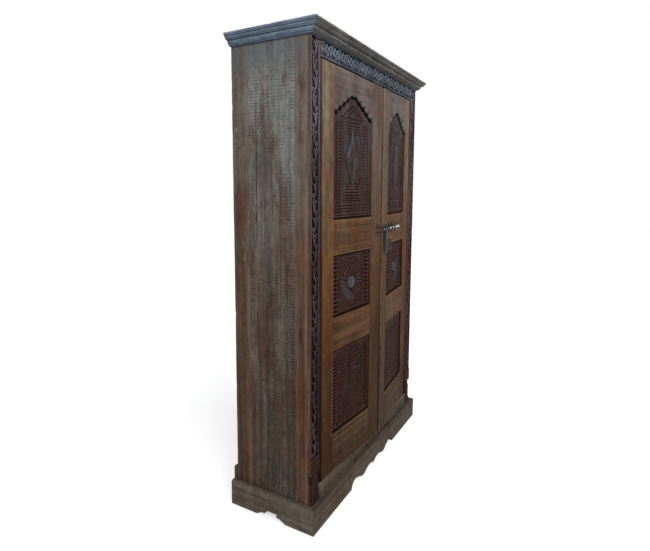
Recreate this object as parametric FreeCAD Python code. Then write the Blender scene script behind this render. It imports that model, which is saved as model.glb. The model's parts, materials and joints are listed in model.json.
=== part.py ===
import FreeCAD, Part
import math
import os

# A two-door carved cabinet on a plinth. Millimetres, +Z up, front towards -Y.
# It is laid out with Y = 0 in the middle of the case, and shifted at the end
# so that the origin is the bottom centre of the box that holds every piece.

# Overall sizes
total_height = 1980
case_width = 1150
case_depth = 378
overrun = 5

# Cornice
cornice_height = 45
cornice_overhang = 44
cornice_inset = 30
cap_height = 8
cap_round = 2
cap_step = 4
bead_out = 20
bead_radius = 3
bead_height = 16
neck_out = 8
neck_height = 3

# Plinth
plinth_height = 107
plinth_board = 22
plinth_chamfer = 4
plinth_back_board = 18
plinth_back_height = 162
scallop_half_width = 250
scallop_outer_height = 32
scallop_inner_height = 20
pendant_height = 4
scallop_peak_shares = (0.80, 0.24)
scallop_lobe_share = 0.48
scallop_bite_share = 0.2
scallop_bite_rise_share = 2 / 3
foot_cut_half_width = 73
foot_cut_height = 30
foot_cut_ledge_height = 15
foot_cut_ledge_share = 0.62
foot_cut_top_share = 0.40

# Posts, pilasters and front rails
pilaster_width = 65
pilaster_board = 20
pilaster_foot_height = 100
pilaster_foot_relief = 3
front_post_depth = 53
back_post_width = 45
back_post_depth = 79
frieze_height = 65
frieze_board_depth = 12
threshold_top = 164
threshold_height = 90
threshold_depth = 53
case_tenon_length = 30
case_tenon_depth = 16
case_tenon_shoulder = 10

# Side boards, rails, back, top, floor and shelves
side_board_thickness = 22
side_board_count = 3
side_board_foot = 45
board_gap = 1
side_rail_thickness = 30
side_rail_height = 40
back_board_thickness = 15
back_board_count = 4
back_rail_thickness = 25
back_rail_height = 60
top_board_thickness = 22
floor_thickness = 22
shelf_thickness = 22
shelf_names = ("lower", "middle", "upper")
shelf_front_gap = 8
cleat_height = 30
cleat_depth = 25
fit_gap = 0.5

# Doors. Widths run along the door from its pivot, and heights up from its foot.
ajar_angle = 5.7
door_setback = 5.7
door_thickness = 32
door_edge_clearance = 4.5
meeting_gap = 15
door_foot_gap = 4
door_head_gap = 4
door_top_drop = 23
pivot_radius = 9
pivot_clearance = 0.05
pivot_foot_length = 18
pivot_head_length = 22
socket_end_gap = 0.5
hinge_stile_width = 86.5
meeting_stile_width = 88
bottom_rail_height = 167
lower_middle_rail_height = 144
upper_middle_rail_height = 149
top_rail_height = 207
panel_height_shares = (0.3521, 0.2531, 0.3948)
arch_rise = 96
arch_foils = 5
foil_depth = 6
arch_panel_cover = 14

# Door joinery and panels
panel_back_wall = 9
panel_thickness = 10
groove_depth = 10
panel_gap = 1
door_tenon_length = 45
door_tenon_thickness = 9
door_tenon_setback = 7
door_tenon_shoulder = 14

# Raised parts of the carved panels
field_height = 4
field_margin = 3
boss_radius = 24
boss_height = 7
rosette_radius = 84
rosette_ring = 7
rosette_height = 3
kite_width_share = 0.505
kite_height_share = 0.651
kite_foot_share = 0.275
kite_waist_share = 0.55
kite_relief = 6
chevron_bar = 14
chevron_relief = 3
chevron_margin = 46

# Slide bolt. Its places run from the door's meeting edge, and its height from the rail's foot.
bolt_rise = 84
bolt_standoff = 12
bolt_radius = 6.5
bolt_length = 249
bolt_tip_inset = 2
bolt_travel = 55
bolt_tip_round = 2
guide_insets = (6, 60, 110, 159)
guide_width = 9
guide_wall = 3
guide_foot = 12
bolt_clearance = 0.3
keeper_width = 12
bolt_pass = 5
keeper_inside_height = 30
keeper_inside_width = 18
keeper_foot = 16

# Hasp, hung on the rod between the first guide and the second
hasp_side_gap = 2.5
hasp_wall = 3
hasp_length = 118
hasp_thickness = 3.5
hasp_slot_width = 14
hasp_slot_length = 38
hasp_slot_foot = 16

# Ring and its eye
ring_inset = 94
ring_eye_rise = 21
ring_radius = 22
ring_wire = 2.8
eye_hole = 4.7
eye_wire = 2
eye_standoff = 10
eye_shank = 2.2
eye_shank_length = 12
ring_hang_gap = 0.3

# Worked out from the sizes above
half_width = case_width / 2
front = -case_depth / 2
back = case_depth / 2
case_top = total_height - cornice_height
inner_half = half_width - pilaster_width
frieze_foot = case_top - frieze_height
post_front = front + pilaster_board
side_inner = half_width - side_board_thickness
back_inner_half = half_width - back_post_width
pivot_x = inner_half - door_edge_clearance - door_thickness / 2
pivot_y = front + door_setback + door_thickness / 2
door_face = front + door_setback
door_foot = threshold_top + door_foot_gap
door_top = frieze_foot - door_head_gap
door_width = pivot_x - meeting_gap / 2
back_face = back - fit_gap
back_rail_front = back_face - back_board_thickness - back_rail_thickness
shelf_pitch = (frieze_foot - threshold_top) / (len(shelf_names) + 1)
shelf_tops = [threshold_top + shelf_pitch * (index + 1) for index in range(len(shelf_names))]
opening_from = hinge_stile_width
opening_to = door_width - meeting_stile_width
opening_middle = (opening_from + opening_to) / 2
panel_heights = [share * (door_top - door_foot - bottom_rail_height - lower_middle_rail_height
                          - upper_middle_rail_height - top_rail_height) for share in panel_height_shares]
bottom_opening_foot = door_foot + bottom_rail_height
bottom_opening = (bottom_opening_foot, bottom_opening_foot + panel_heights[0])
middle_opening_foot = bottom_opening[1] + lower_middle_rail_height
middle_opening = (middle_opening_foot, middle_opening_foot + panel_heights[1])
top_opening_foot = middle_opening[1] + upper_middle_rail_height
arch_spring = door_top - top_rail_height
arch_apex = arch_spring + arch_rise
panel_recess = door_thickness - panel_back_wall - panel_thickness
bolt_height = middle_opening[1] + bolt_rise
guide_places = [door_width - inset for inset in guide_insets]
hasp_place = (guide_places[0] + guide_places[1]) / 2
hasp_width = guide_places[0] - guide_places[1] - guide_width - 2 * hasp_side_gap
keeper_inset = bolt_travel - bolt_tip_inset - meeting_gap - bolt_pass - keeper_width / 2
keeper_place = door_width - keeper_inset
ring_place = door_width - ring_inset
ring_eye_height = middle_opening[1] + ring_eye_rise

pieces = {}
door_pieces = {"left": [], "right": []}


def vec(x, y, z):
    return FreeCAD.Vector(x, y, z)


def block(x0, x1, y0, y1, z0, z1):
    corner = vec(min(x0, x1), min(y0, y1), min(z0, z1))
    return Part.makeBox(abs(x1 - x0), abs(y1 - y0), abs(z1 - z0), corner)


def rod(radius, start, direction, length):
    return Part.makeCylinder(radius, length, start, direction)


def prism(points, direction):
    face = Part.Face(Part.makePolygon(points + [points[0]]))
    return face.extrude(direction)


def arc_through(a, b, c):
    return Part.Arc(a, b, c).toShape()


def line(a, b):
    return Part.LineSegment(a, b).toShape()


def both_sides(name, shape):
    pieces["left_" + name] = shape
    pieces["right_" + name] = shape.mirror(vec(0, 0, 0), vec(1, 0, 0))


def tenon(rail, post, shape):
    pieces[rail] = pieces[rail].fuse(shape).removeSplitter()
    pieces[post] = pieces[post].cut(shape)


# Posts and pilasters

def build_posts():
    both_sides("front_post", block(-half_width, -inner_half, post_front, post_front + front_post_depth,
                                   0, case_top))
    both_sides("back_post", block(-half_width, -back_inner_half, back - back_post_depth, back, 0, case_top))
    body = block(-half_width, -inner_half, front, post_front, 0, case_top)
    # The carved stretch is cut back a little behind the plain foot block
    carved = block(-half_width + pilaster_foot_relief, -inner_half - pilaster_foot_relief,
                   front - overrun, front + pilaster_foot_relief,
                   plinth_height + pilaster_foot_height, case_top - pilaster_foot_relief)
    both_sides("pilaster", body.cut(carved))


# Front rails, with tenons in the front posts

def rail_tenon(name, z0, z1):
    y0 = post_front + case_tenon_shoulder
    for side, sign in (("left", -1), ("right", 1)):
        shape = block(sign * inner_half, sign * (inner_half + case_tenon_length),
                      y0, y0 + case_tenon_depth, z0 + case_tenon_shoulder, z1 - case_tenon_shoulder)
        tenon(name, side + "_front_post", shape)


def build_front_rails():
    pieces["frieze_board"] = block(-inner_half, inner_half, front, front + frieze_board_depth,
                                   frieze_foot, case_top)
    pieces["door_head_rail"] = block(-inner_half, inner_half, front + frieze_board_depth,
                                     post_front + front_post_depth, frieze_foot, case_top)
    threshold_foot = threshold_top - threshold_height
    pieces["threshold_rail"] = block(-inner_half, inner_half, front, front + threshold_depth,
                                     threshold_foot, threshold_top)
    rail_tenon("door_head_rail", frieze_foot, case_top)
    rail_tenon("threshold_rail", threshold_foot, threshold_top)
    radius = pivot_radius + pivot_clearance
    for sign in (-1, 1):
        foot_depth = pivot_foot_length - door_foot_gap + socket_end_gap
        foot = rod(radius, vec(sign * pivot_x, pivot_y, threshold_top - foot_depth), vec(0, 0, 1),
                   foot_depth + overrun)
        pieces["threshold_rail"] = pieces["threshold_rail"].cut(foot)
        head_depth = pivot_head_length - door_head_gap + door_foot_gap + socket_end_gap
        head = rod(radius, vec(sign * pivot_x, pivot_y, frieze_foot - overrun), vec(0, 0, 1),
                   head_depth + overrun)
        pieces["door_head_rail"] = pieces["door_head_rail"].cut(head)


# Sides: boards between the posts, flush outside, on a rail at each end

def build_sides():
    start = post_front + front_post_depth
    end = back - back_post_depth
    pitch = (end - start) / side_board_count
    for index, place in enumerate(("front", "middle", "back")):
        y0 = start + pitch * index + board_gap / 2
        y1 = start + pitch * (index + 1) - board_gap / 2
        both_sides("side_board_" + place, block(-half_width, -side_inner, y0, y1,
                                                     side_board_foot, case_top))
    top_rail = block(-side_inner, -side_inner + side_rail_thickness, start, end,
                     case_top - side_rail_height, case_top)
    floor_foot = threshold_top - floor_thickness
    foot_rail = block(-side_inner, -side_inner + side_rail_thickness, start, end,
                      floor_foot - side_rail_height, floor_foot)
    both_sides("side_rails", Part.makeCompound([top_rail, foot_rail]))


# Back: three rails tenoned into the back posts, with upright boards behind them

def back_rail_places():
    middle = (shelf_tops[1] - shelf_thickness) - back_rail_height
    return (threshold_top - floor_thickness - back_rail_height, middle, case_top - back_rail_height)


def build_back():
    rails = []
    for z0 in back_rail_places():
        rail = block(-back_inner_half, back_inner_half, back_rail_front,
                     back_rail_front + back_rail_thickness, z0, z0 + back_rail_height)
        for side, sign in (("left", -1), ("right", 1)):
            shoulder = (back_rail_thickness - case_tenon_depth) / 2
            shape = block(sign * back_inner_half, sign * (back_inner_half + case_tenon_length),
                          back_rail_front + shoulder, back_rail_front + shoulder + case_tenon_depth,
                          z0 + case_tenon_shoulder, z0 + back_rail_height - case_tenon_shoulder)
            rail = rail.fuse(shape).removeSplitter()
            pieces[side + "_back_post"] = pieces[side + "_back_post"].cut(shape)
        rails.append(rail)
    pieces["back_rails"] = Part.makeCompound(rails)
    pitch = 2 * back_inner_half / back_board_count
    for index in range(back_board_count):
        x0 = -back_inner_half + pitch * index + board_gap / 2
        pieces["back_board_%d" % (index + 1)] = block(
            x0, x0 + pitch - board_gap, back_face - back_board_thickness, back_face,
            plinth_height, case_top)


# Top, floor and shelves

def build_boards_inside():
    top_half = half_width - cornice_inset
    split = (front + back) / 2
    top_front = block(-top_half, top_half, front + cornice_inset, split - board_gap / 2,
                      case_top, case_top + top_board_thickness)
    top_rear = block(-top_half, top_half, split + board_gap / 2, back,
                     case_top, case_top + top_board_thickness)
    pieces["top_boards"] = Part.makeCompound([top_front, top_rear])

    floor_front = front + threshold_depth
    floor_half = inner_half - fit_gap
    middle = (floor_front + back_rail_front) / 2
    floor_foot = threshold_top - floor_thickness
    post_rear = post_front + front_post_depth
    nose = block(-floor_half, floor_half, floor_front, post_rear, floor_foot, threshold_top)
    wide_half = side_inner - fit_gap
    rear_limit = back - back_post_depth
    main = block(-wide_half, wide_half, post_rear, middle - board_gap / 2, floor_foot, threshold_top)
    rear = block(-wide_half, wide_half, middle + board_gap / 2, rear_limit, floor_foot, threshold_top)
    tail = block(-back_inner_half + fit_gap, back_inner_half - fit_gap, rear_limit,
                 back_face - back_board_thickness, floor_foot, threshold_top)
    pieces["floor_boards"] = Part.makeCompound([nose.fuse(main).removeSplitter(),
                                                rear.fuse(tail).removeSplitter()])

    shelf_front = post_rear + shelf_front_gap
    cleats = []
    for name, top in zip(shelf_names, shelf_tops):
        shelf_back = back_face - back_board_thickness - fit_gap
        if name == "middle":
            shelf_back = back_rail_front + back_rail_thickness
        wide = block(-wide_half, wide_half, shelf_front, rear_limit, top - shelf_thickness, top)
        narrow = block(-back_inner_half + fit_gap, back_inner_half - fit_gap, rear_limit, shelf_back,
                       top - shelf_thickness, top)
        pieces[name + "_shelf"] = wide.fuse(narrow).removeSplitter()
        for sign in (-1, 1):
            cleats.append(block(sign * side_inner, sign * (side_inner - cleat_depth), shelf_front, rear_limit,
                                top - shelf_thickness - cleat_height, top - shelf_thickness))
    pieces["shelf_cleats"] = Part.makeCompound(cleats)


# Cornice: one moulding section, run along three sides and mitred

def cornice_section(place):
    """Outline of the moulding, where place(out, z) gives a point at a distance out of the case."""
    cap_foot = cornice_height - cap_height
    cove_out = cornice_overhang - cap_step
    bead_top = bead_height + bead_radius
    bead_foot = bead_height - bead_radius
    half_way_share = 1 - math.sqrt(1 / 2)
    cove_middle = (bead_out + (cove_out - bead_out) * half_way_share,
                   cap_foot - (cap_foot - bead_top) * half_way_share)
    neck_middle = (neck_out + (bead_out - neck_out) * half_way_share,
                   bead_foot - (bead_foot - neck_height) * half_way_share)
    edges = [
        line(place(-cornice_inset, 0), place(-cornice_inset, cornice_height)),
        line(place(-cornice_inset, cornice_height), place(cornice_overhang - cap_round, cornice_height)),
        arc_through(place(cornice_overhang - cap_round, cornice_height),
                    place(cornice_overhang, cornice_height - cap_height / 2),
                    place(cornice_overhang - cap_round, cap_foot)),
        line(place(cornice_overhang - cap_round, cap_foot), place(cove_out, cap_foot)),
        arc_through(place(cove_out, cap_foot), place(*cove_middle), place(bead_out, bead_top)),
        arc_through(place(bead_out, bead_top), place(bead_out + bead_radius, bead_height),
                    place(bead_out, bead_foot)),
        arc_through(place(bead_out, bead_foot), place(*neck_middle), place(neck_out, neck_height)),
        line(place(neck_out, neck_height), place(neck_out, 0)),
        line(place(neck_out, 0), place(-cornice_inset, 0)),
    ]
    return Part.Face(Part.Wire(edges))


def mitre_wedge(sign):
    """The space on the side's side of the mitre plane through a front corner."""
    reach = cornice_overhang + cornice_inset + overrun
    corner_x = sign * half_width
    inner = vec(corner_x - sign * reach, front + reach, case_top - overrun)
    outer = vec(corner_x + sign * reach, front - reach, case_top - overrun)
    side = vec(corner_x + sign * reach, front + reach, case_top - overrun)
    return prism([inner, outer, side], vec(0, 0, cornice_height + 2 * overrun))


def build_cornice():
    run = half_width + cornice_overhang

    def front_place(out, z):
        return vec(-run, front - out, case_top + z)

    def left_place(out, z):
        return vec(-half_width - out, front - cornice_overhang, case_top + z)

    front_bar = cornice_section(front_place).extrude(vec(2 * run, 0, 0))
    left_bar = cornice_section(left_place).extrude(vec(0, case_depth + cornice_overhang, 0))
    wedge = mitre_wedge(-1)
    far = block(-half_width - cornice_overhang - overrun, 0, front + cornice_inset, back + overrun,
                case_top - overrun, total_height + overrun)
    both_sides("cornice", left_bar.common(wedge.fuse(far)))
    pieces["front_cornice"] = front_bar.cut(wedge).cut(mitre_wedge(1))


# Plinth: boards round the foot of the case

def front_scallop():
    """The cut-out along the foot of the front board, as a solid."""
    half = scallop_half_width
    peak_out, peak_in = (share * half for share in scallop_peak_shares)
    lobe = scallop_lobe_share * half
    y0 = front - plinth_board - overrun

    def place(x, z):
        return vec(x, y0, z)

    edges = []
    for sign in (-1, 1):
        cusp_out = (peak_out + lobe) / 2
        cusp_in = (peak_in + lobe) / 2
        cusp_z = (scallop_outer_height + pendant_height) / 2
        lobe_z = (scallop_inner_height + pendant_height) / 2
        bite = half - (half - peak_out) * scallop_bite_share
        path = [
            arc_through(place(sign * half, 0),
                        place(sign * bite, scallop_outer_height * scallop_bite_rise_share),
                        place(sign * peak_out, scallop_outer_height)),
            line(place(sign * peak_out, scallop_outer_height), place(sign * cusp_out, cusp_z)),
            arc_through(place(sign * cusp_out, cusp_z), place(sign * lobe, pendant_height),
                        place(sign * cusp_in, lobe_z)),
            arc_through(place(sign * cusp_in, lobe_z), place(sign * peak_in, scallop_inner_height),
                        place(0, pendant_height)),
        ]
        edges += path
    edges.append(line(place(half, 0), place(half, -overrun)))
    edges.append(line(place(half, -overrun), place(-half, -overrun)))
    edges.append(line(place(-half, -overrun), place(-half, 0)))
    wire = Part.Wire(Part.__sortEdges__(edges))
    return Part.Face(wire).extrude(vec(0, plinth_board + 2 * overrun, 0))


def side_foot_cut():
    middle = (front - plinth_board + back + plinth_back_board) / 2
    half = foot_cut_half_width
    ledge = half * foot_cut_ledge_share
    top = half * foot_cut_top_share
    x0 = -half_width - plinth_board - overrun
    outline = [(half, 0), (ledge, foot_cut_ledge_height), (top, foot_cut_ledge_height),
               (top, foot_cut_height)]
    points = [vec(x0, middle + y, z) for y, z in outline]
    points += [vec(x0, middle - y, z) for y, z in reversed(outline)]
    points += [vec(x0, middle - half, -overrun), vec(x0, middle + half, -overrun)]
    return prism(points, vec(plinth_board + 2 * overrun, 0, 0))


def build_plinth():
    outer_x = half_width + plinth_board
    outer_y = front - plinth_board
    rear = back + plinth_back_board

    board = prism([vec(-outer_x, outer_y, 0), vec(outer_x, outer_y, 0), vec(half_width, front, 0),
                   vec(-half_width, front, 0)], vec(0, 0, plinth_height))
    pieces["front_plinth"] = board.cut(front_scallop())
    side = prism([vec(-outer_x, outer_y, 0), vec(-half_width, front, 0), vec(-half_width, rear, 0),
                  vec(-outer_x, rear, 0)], vec(0, 0, plinth_height))
    chamfer = prism([vec(-outer_x, outer_y - overrun, plinth_height - plinth_chamfer),
                     vec(-outer_x, outer_y - overrun, plinth_height),
                     vec(-outer_x + plinth_chamfer, outer_y - overrun, plinth_height)],
                    vec(0, rear - outer_y + 2 * overrun, 0))
    both_sides("plinth", side.cut(chamfer).cut(side_foot_cut()))
    front_chamfer = prism([vec(-outer_x - overrun, outer_y, plinth_height - plinth_chamfer),
                           vec(-outer_x - overrun, outer_y, plinth_height),
                           vec(-outer_x - overrun, outer_y + plinth_chamfer, plinth_height)],
                          vec(2 * outer_x + 2 * overrun, 0, 0))
    pieces["front_plinth"] = pieces["front_plinth"].cut(front_chamfer)
    pieces["back_plinth"] = block(-half_width, half_width, back, rear, 0, plinth_back_height)


# Doors. Each piece is made for the left door, closed, and mirrored for the right.

def door_block(u0, u1, depth0, depth1, z0, z1):
    """A block in door sizes: u from the pivot, depth from the door's face."""
    return block(-pivot_x + u0, -pivot_x + u1, door_face + depth0, door_face + depth1, z0, z1)


def door_point(u, depth, z):
    return vec(-pivot_x + u, door_face + depth, z)


def both_doors(name, shape):
    both_sides("door_" + name, shape)
    for side in ("left", "right"):
        door_pieces[side].append(side + "_door_" + name)


def panel_spaces():
    """Where each panel's board reaches, in its grooves: foot and top."""
    reach = groove_depth - panel_gap
    return {
        "bottom": (bottom_opening[0] - reach, bottom_opening[1] + reach),
        "middle": (middle_opening[0] - reach, middle_opening[1] + reach),
        "top": (top_opening_foot - reach, arch_apex + arch_panel_cover),
    }


def arch_cut():
    """The pointed arch with its foils, cut through the top rail's front leaf."""
    middle = opening_middle
    half = (opening_to - opening_from) / 2
    rise = arch_apex - arch_spring
    slope = math.hypot(half, rise)
    edges = []
    for sign in (-1, 1):
        normal_u = sign * rise / slope
        normal_z = half / slope
        for index in range(arch_foils):
            share0 = index / arch_foils
            share1 = (index + 1) / arch_foils
            share_mid = (share0 + share1) / 2
            start = door_point(middle + sign * half * (1 - share0), -overrun, arch_spring + rise * share0)
            end = door_point(middle + sign * half * (1 - share1), -overrun, arch_spring + rise * share1)
            bulge = door_point(middle + sign * half * (1 - share_mid) + normal_u * foil_depth, -overrun,
                               arch_spring + rise * share_mid + normal_z * foil_depth)
            edges.append(arc_through(start, bulge, end))
    low = arch_spring - overrun
    corners = [door_point(opening_from, -overrun, arch_spring), door_point(opening_from, -overrun, low),
               door_point(opening_to, -overrun, low), door_point(opening_to, -overrun, arch_spring)]
    edges += [line(corners[0], corners[1]), line(corners[1], corners[2]), line(corners[2], corners[3])]
    wire = Part.Wire(Part.__sortEdges__(edges))
    return Part.Face(wire).extrude(vec(0, door_thickness + 2 * overrun, 0))


def top_slope():
    """The space above a door's top edge, which falls a little towards the meeting side."""
    start = door_thickness / 2
    end = door_width + overrun
    drop = door_top_drop * (end - start) / (door_width - start)
    return prism([door_point(start, -overrun, door_top), door_point(end, -overrun, door_top - drop),
                  door_point(end, -overrun, door_top + overrun),
                  door_point(start, -overrun, door_top + overrun)],
                 vec(0, door_thickness + 2 * overrun, 0))


def build_stiles():
    hinge = door_block(0, opening_from, 0, door_thickness, door_foot, door_top)
    round_edge = rod(door_thickness / 2, vec(-pivot_x, pivot_y, door_foot), vec(0, 0, 1),
                     door_top - door_foot)
    pin_foot = threshold_top + door_foot_gap - pivot_foot_length
    pin_head = frieze_foot + pivot_head_length - door_head_gap
    pin = rod(pivot_radius, vec(-pivot_x, pivot_y, pin_foot), vec(0, 0, 1), pin_head - pin_foot)
    hinge = hinge.fuse([round_edge, pin]).removeSplitter()
    meeting = door_block(opening_to, door_width, 0, door_thickness, door_foot, door_top)
    groove0 = panel_recess
    groove1 = panel_recess + panel_thickness
    for foot, top in panel_spaces().values():
        groove = door_block(opening_from - groove_depth, opening_to + groove_depth, groove0, groove1,
                            foot - panel_gap, top + panel_gap)
        hinge = hinge.cut(groove)
        meeting = meeting.cut(groove)
    both_doors("hinge_stile", hinge.cut(top_slope()))
    both_doors("meeting_stile", meeting.cut(top_slope()))


def build_rails():
    spaces = panel_spaces()
    rails = {
        "bottom_rail": (door_foot, bottom_opening[0]),
        "lower_middle_rail": (bottom_opening[1], middle_opening[0]),
        "upper_middle_rail": (middle_opening[1], top_opening_foot),
        "top_rail": (arch_spring, door_top),
    }
    for name, (z0, z1) in rails.items():
        rail = door_block(opening_from, opening_to, 0, door_thickness, z0, z1)
        for panel, (foot, top) in spaces.items():
            groove = door_block(opening_from, opening_to, panel_recess, panel_recess + panel_thickness,
                                foot - panel_gap, top + panel_gap)
            rail = rail.cut(groove)
        tenon_foot = z0 + door_tenon_shoulder
        tenon_top = z1 - door_tenon_shoulder
        if name == "top_rail":
            tenon_foot = spaces["top"][1] + panel_gap + door_tenon_shoulder
            tenon_top = tenon_top - door_top_drop
            rail = rail.cut(arch_cut()).cut(top_slope())
            rail = rail.cut(door_block(opening_from, opening_to, panel_recess, door_thickness + overrun,
                                       z0 - overrun, spaces["top"][1] + panel_gap))
        both_doors(name, rail)
        for side, sign in (("left", 1), ("right", -1)):
            for stile, u0, u1 in (("hinge_stile", opening_from - door_tenon_length, opening_from),
                                  ("meeting_stile", opening_to, opening_to + door_tenon_length)):
                shape = block(sign * (-pivot_x + u0), sign * (-pivot_x + u1),
                              door_face + door_tenon_setback,
                              door_face + door_tenon_setback + door_tenon_thickness,
                              tenon_foot, tenon_top)
                tenon(side + "_door_" + name, side + "_door_" + stile, shape)


def panel_board(name):
    foot, top = panel_spaces()[name]
    reach = groove_depth - panel_gap
    return door_block(opening_from - reach, opening_to + reach, panel_recess,
                      panel_recess + panel_thickness, foot, top)


def raised_field(z0, z1):
    return door_block(opening_from + field_margin, opening_to - field_margin,
                      panel_recess - field_height, panel_recess, z0 + field_margin, z1 - field_margin)


def build_panels():
    depth = panel_recess - field_height

    # Bottom: a raised field with a bar either way from the middle, as in a fishbone
    foot, top = bottom_opening
    field = raised_field(foot, top)
    u_left = opening_from + chevron_margin
    u_right = opening_to - chevron_margin
    spine = door_block(opening_middle - chevron_bar / 2, opening_middle + chevron_bar / 2,
                       depth - chevron_relief, depth, foot + chevron_margin, top - chevron_margin)
    frame_outer = door_block(u_left - chevron_bar, u_right + chevron_bar, depth - chevron_relief, depth,
                             foot + chevron_margin - chevron_bar, top - chevron_margin + chevron_bar)
    frame_inner = door_block(u_left, u_right, depth - chevron_relief - overrun, depth + overrun,
                             foot + chevron_margin, top - chevron_margin)
    panel = panel_board("bottom").fuse([field, spine, frame_outer.cut(frame_inner)])
    both_doors("bottom_panel", panel.removeSplitter())

    # Middle: a sunburst with a domed boss
    foot, top = middle_opening
    centre = door_point(opening_middle, depth, (foot + top) / 2)
    out = vec(0, -1, 0)
    disc = rod(rosette_radius, centre, out, rosette_height)
    hollow = rod(rosette_radius - rosette_ring, centre, out, rosette_height + overrun)
    ball_radius = (boss_radius ** 2 + boss_height ** 2) / (2 * boss_height)
    ball = Part.makeSphere(ball_radius, centre + vec(0, ball_radius - boss_height, 0))
    dome = ball.common(rod(boss_radius, centre, out, boss_height + overrun))
    panel = panel_board("middle").fuse([raised_field(foot, top), disc.cut(hollow), dome])
    both_doors("middle_panel", panel.removeSplitter())

    # Top: a tall four-pointed kite on a raised field that ends below the arch
    field = raised_field(top_opening_foot, arch_spring)
    straight_height = arch_spring - top_opening_foot
    kite_low = top_opening_foot + kite_foot_share * straight_height
    kite_height = kite_height_share * straight_height
    kite_half_width = kite_width_share * (opening_to - opening_from) / 2
    waist = kite_low + kite_height * kite_waist_share
    kite_back = door_point(opening_middle, depth, waist)
    peak = door_point(opening_middle, depth - kite_relief, waist)
    corners = [door_point(opening_middle, depth, kite_low),
               door_point(opening_middle + kite_half_width, depth, waist),
               door_point(opening_middle, depth, kite_low + kite_height),
               door_point(opening_middle - kite_half_width, depth, waist)]
    faces = [Part.Face(Part.makePolygon(corners + [corners[0]]))]
    for index, corner in enumerate(corners):
        after = corners[(index + 1) % len(corners)]
        faces.append(Part.Face(Part.makePolygon([corner, after, peak, corner])))
    kite = Part.makeSolid(Part.makeShell(faces))
    if kite.Volume < 0:
        kite.reverse()
    panel = panel_board("top").fuse([field, kite])
    both_doors("top_panel", panel.removeSplitter())


# Bolt, guides, keeper, hasp, ring and eye. Places run from a door's pivot.

def saddle(place, width, inside_half, inside_depth, foot, z):
    """A strap bent over the rod, with a foot above and below."""
    u0 = place - width / 2
    u1 = place + width / 2
    outer_half = inside_half + guide_wall
    nose = inside_depth - inside_half
    centre = door_point(u0, -nose, z)
    along = vec(1, 0, 0)
    shell = door_block(u0, u1, -nose, 0, z - outer_half, z + outer_half)
    shell = shell.fuse(rod(outer_half, centre, along, width))
    inside = door_block(u0 - overrun, u1 + overrun, -nose, overrun, z - inside_half, z + inside_half)
    inside = inside.fuse(rod(inside_half, centre - vec(overrun, 0, 0), along, width + 2 * overrun))
    half_space = door_block(u0 - overrun, u1 + overrun, 0, door_thickness, z - outer_half - overrun,
                            z + outer_half + overrun)
    feet = door_block(u0, u1, -guide_wall, 0, z - outer_half - foot, z + outer_half + foot)
    return shell.fuse(feet).cut(inside).cut(half_space).removeSplitter()


def to_right(shape):
    return shape.mirror(vec(0, 0, 0), vec(1, 0, 0))


def build_latch():
    guides = [saddle(place, guide_width, bolt_radius + bolt_clearance,
                     bolt_standoff + bolt_radius + bolt_clearance, guide_foot, bolt_height)
              for place in guide_places]
    pieces["bolt_guides"] = to_right(Part.makeCompound(guides))
    pieces["bolt_keeper"] = saddle(keeper_place, keeper_width, keeper_inside_width / 2,
                                   keeper_inside_height, keeper_foot, bolt_height)

    tip = door_width - bolt_tip_inset
    start = door_point(tip - bolt_length, -bolt_standoff, bolt_height)
    bar = rod(bolt_radius, start, vec(1, 0, 0), bolt_length)
    pieces["bolt_rod"] = to_right(bar.makeChamfer(bolt_tip_round, bar.Edges))

    u0 = hasp_place - hasp_width / 2
    u1 = hasp_place + hasp_width / 2
    bore = bolt_radius + bolt_clearance
    knuckle = rod(bore + hasp_wall, door_point(u0, -bolt_standoff, bolt_height), vec(1, 0, 0), hasp_width)
    strap = door_block(u0, u1, -bolt_standoff - hasp_thickness / 2, -bolt_standoff + hasp_thickness / 2,
                       bolt_height - hasp_length, bolt_height)
    slot_foot = bolt_height - hasp_length + hasp_slot_foot
    slot = door_block(hasp_place - hasp_slot_width / 2, hasp_place + hasp_slot_width / 2,
                      -bolt_standoff - overrun, -bolt_standoff + overrun,
                      slot_foot, slot_foot + hasp_slot_length)
    hole = rod(bore, door_point(u0 - overrun, -bolt_standoff, bolt_height), vec(1, 0, 0),
               hasp_width + 2 * overrun)
    pieces["hasp"] = to_right(knuckle.fuse(strap).cut(slot).cut(hole).removeSplitter())

    eye_centre = door_point(ring_place, -eye_standoff, ring_eye_height)
    eye_ring = Part.makeTorus(eye_hole + eye_wire, eye_wire, eye_centre, vec(1, 0, 0))
    shank_start = door_point(ring_place, -eye_standoff + eye_hole + eye_wire, ring_eye_height)
    shank_length = eye_standoff - eye_hole - eye_wire + eye_shank_length
    shank = rod(eye_shank, shank_start, vec(0, 1, 0), shank_length)
    pieces["ring_eye"] = to_right(eye_ring.fuse(shank).removeSplitter())
    hang_z = ring_eye_height - (eye_hole - ring_wire - ring_hang_gap)
    ring_centre = door_point(ring_place, -eye_standoff, hang_z - ring_radius)
    pieces["pull_ring"] = to_right(Part.makeTorus(ring_radius, ring_wire, ring_centre, vec(0, 1, 0)))
    rail = "right_door_upper_middle_rail"
    pieces[rail] = pieces[rail].cut(to_right(shank))

    door_pieces["left"].append("bolt_keeper")
    door_pieces["right"] += ["bolt_guides", "bolt_rod", "hasp", "ring_eye", "pull_ring"]


# Stand both doors ajar, as they hang

def open_doors():
    for side, sign in (("left", -1), ("right", 1)):
        for name in door_pieces[side]:
            pieces[name] = pieces[name].rotate(vec(sign * pivot_x, pivot_y, 0), vec(0, 0, 1),
                                               sign * ajar_angle)


def door_world(sign, u, depth, z):
    """A point of a door as it hangs; sign is -1 for the left door and 1 for the right."""
    angle = math.radians(ajar_angle)
    from_pivot = depth - door_thickness / 2
    x = sign * (pivot_x - u * math.cos(angle) - from_pivot * math.sin(angle))
    y = pivot_y - u * math.sin(angle) + from_pivot * math.cos(angle)
    return x, y, z


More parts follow.
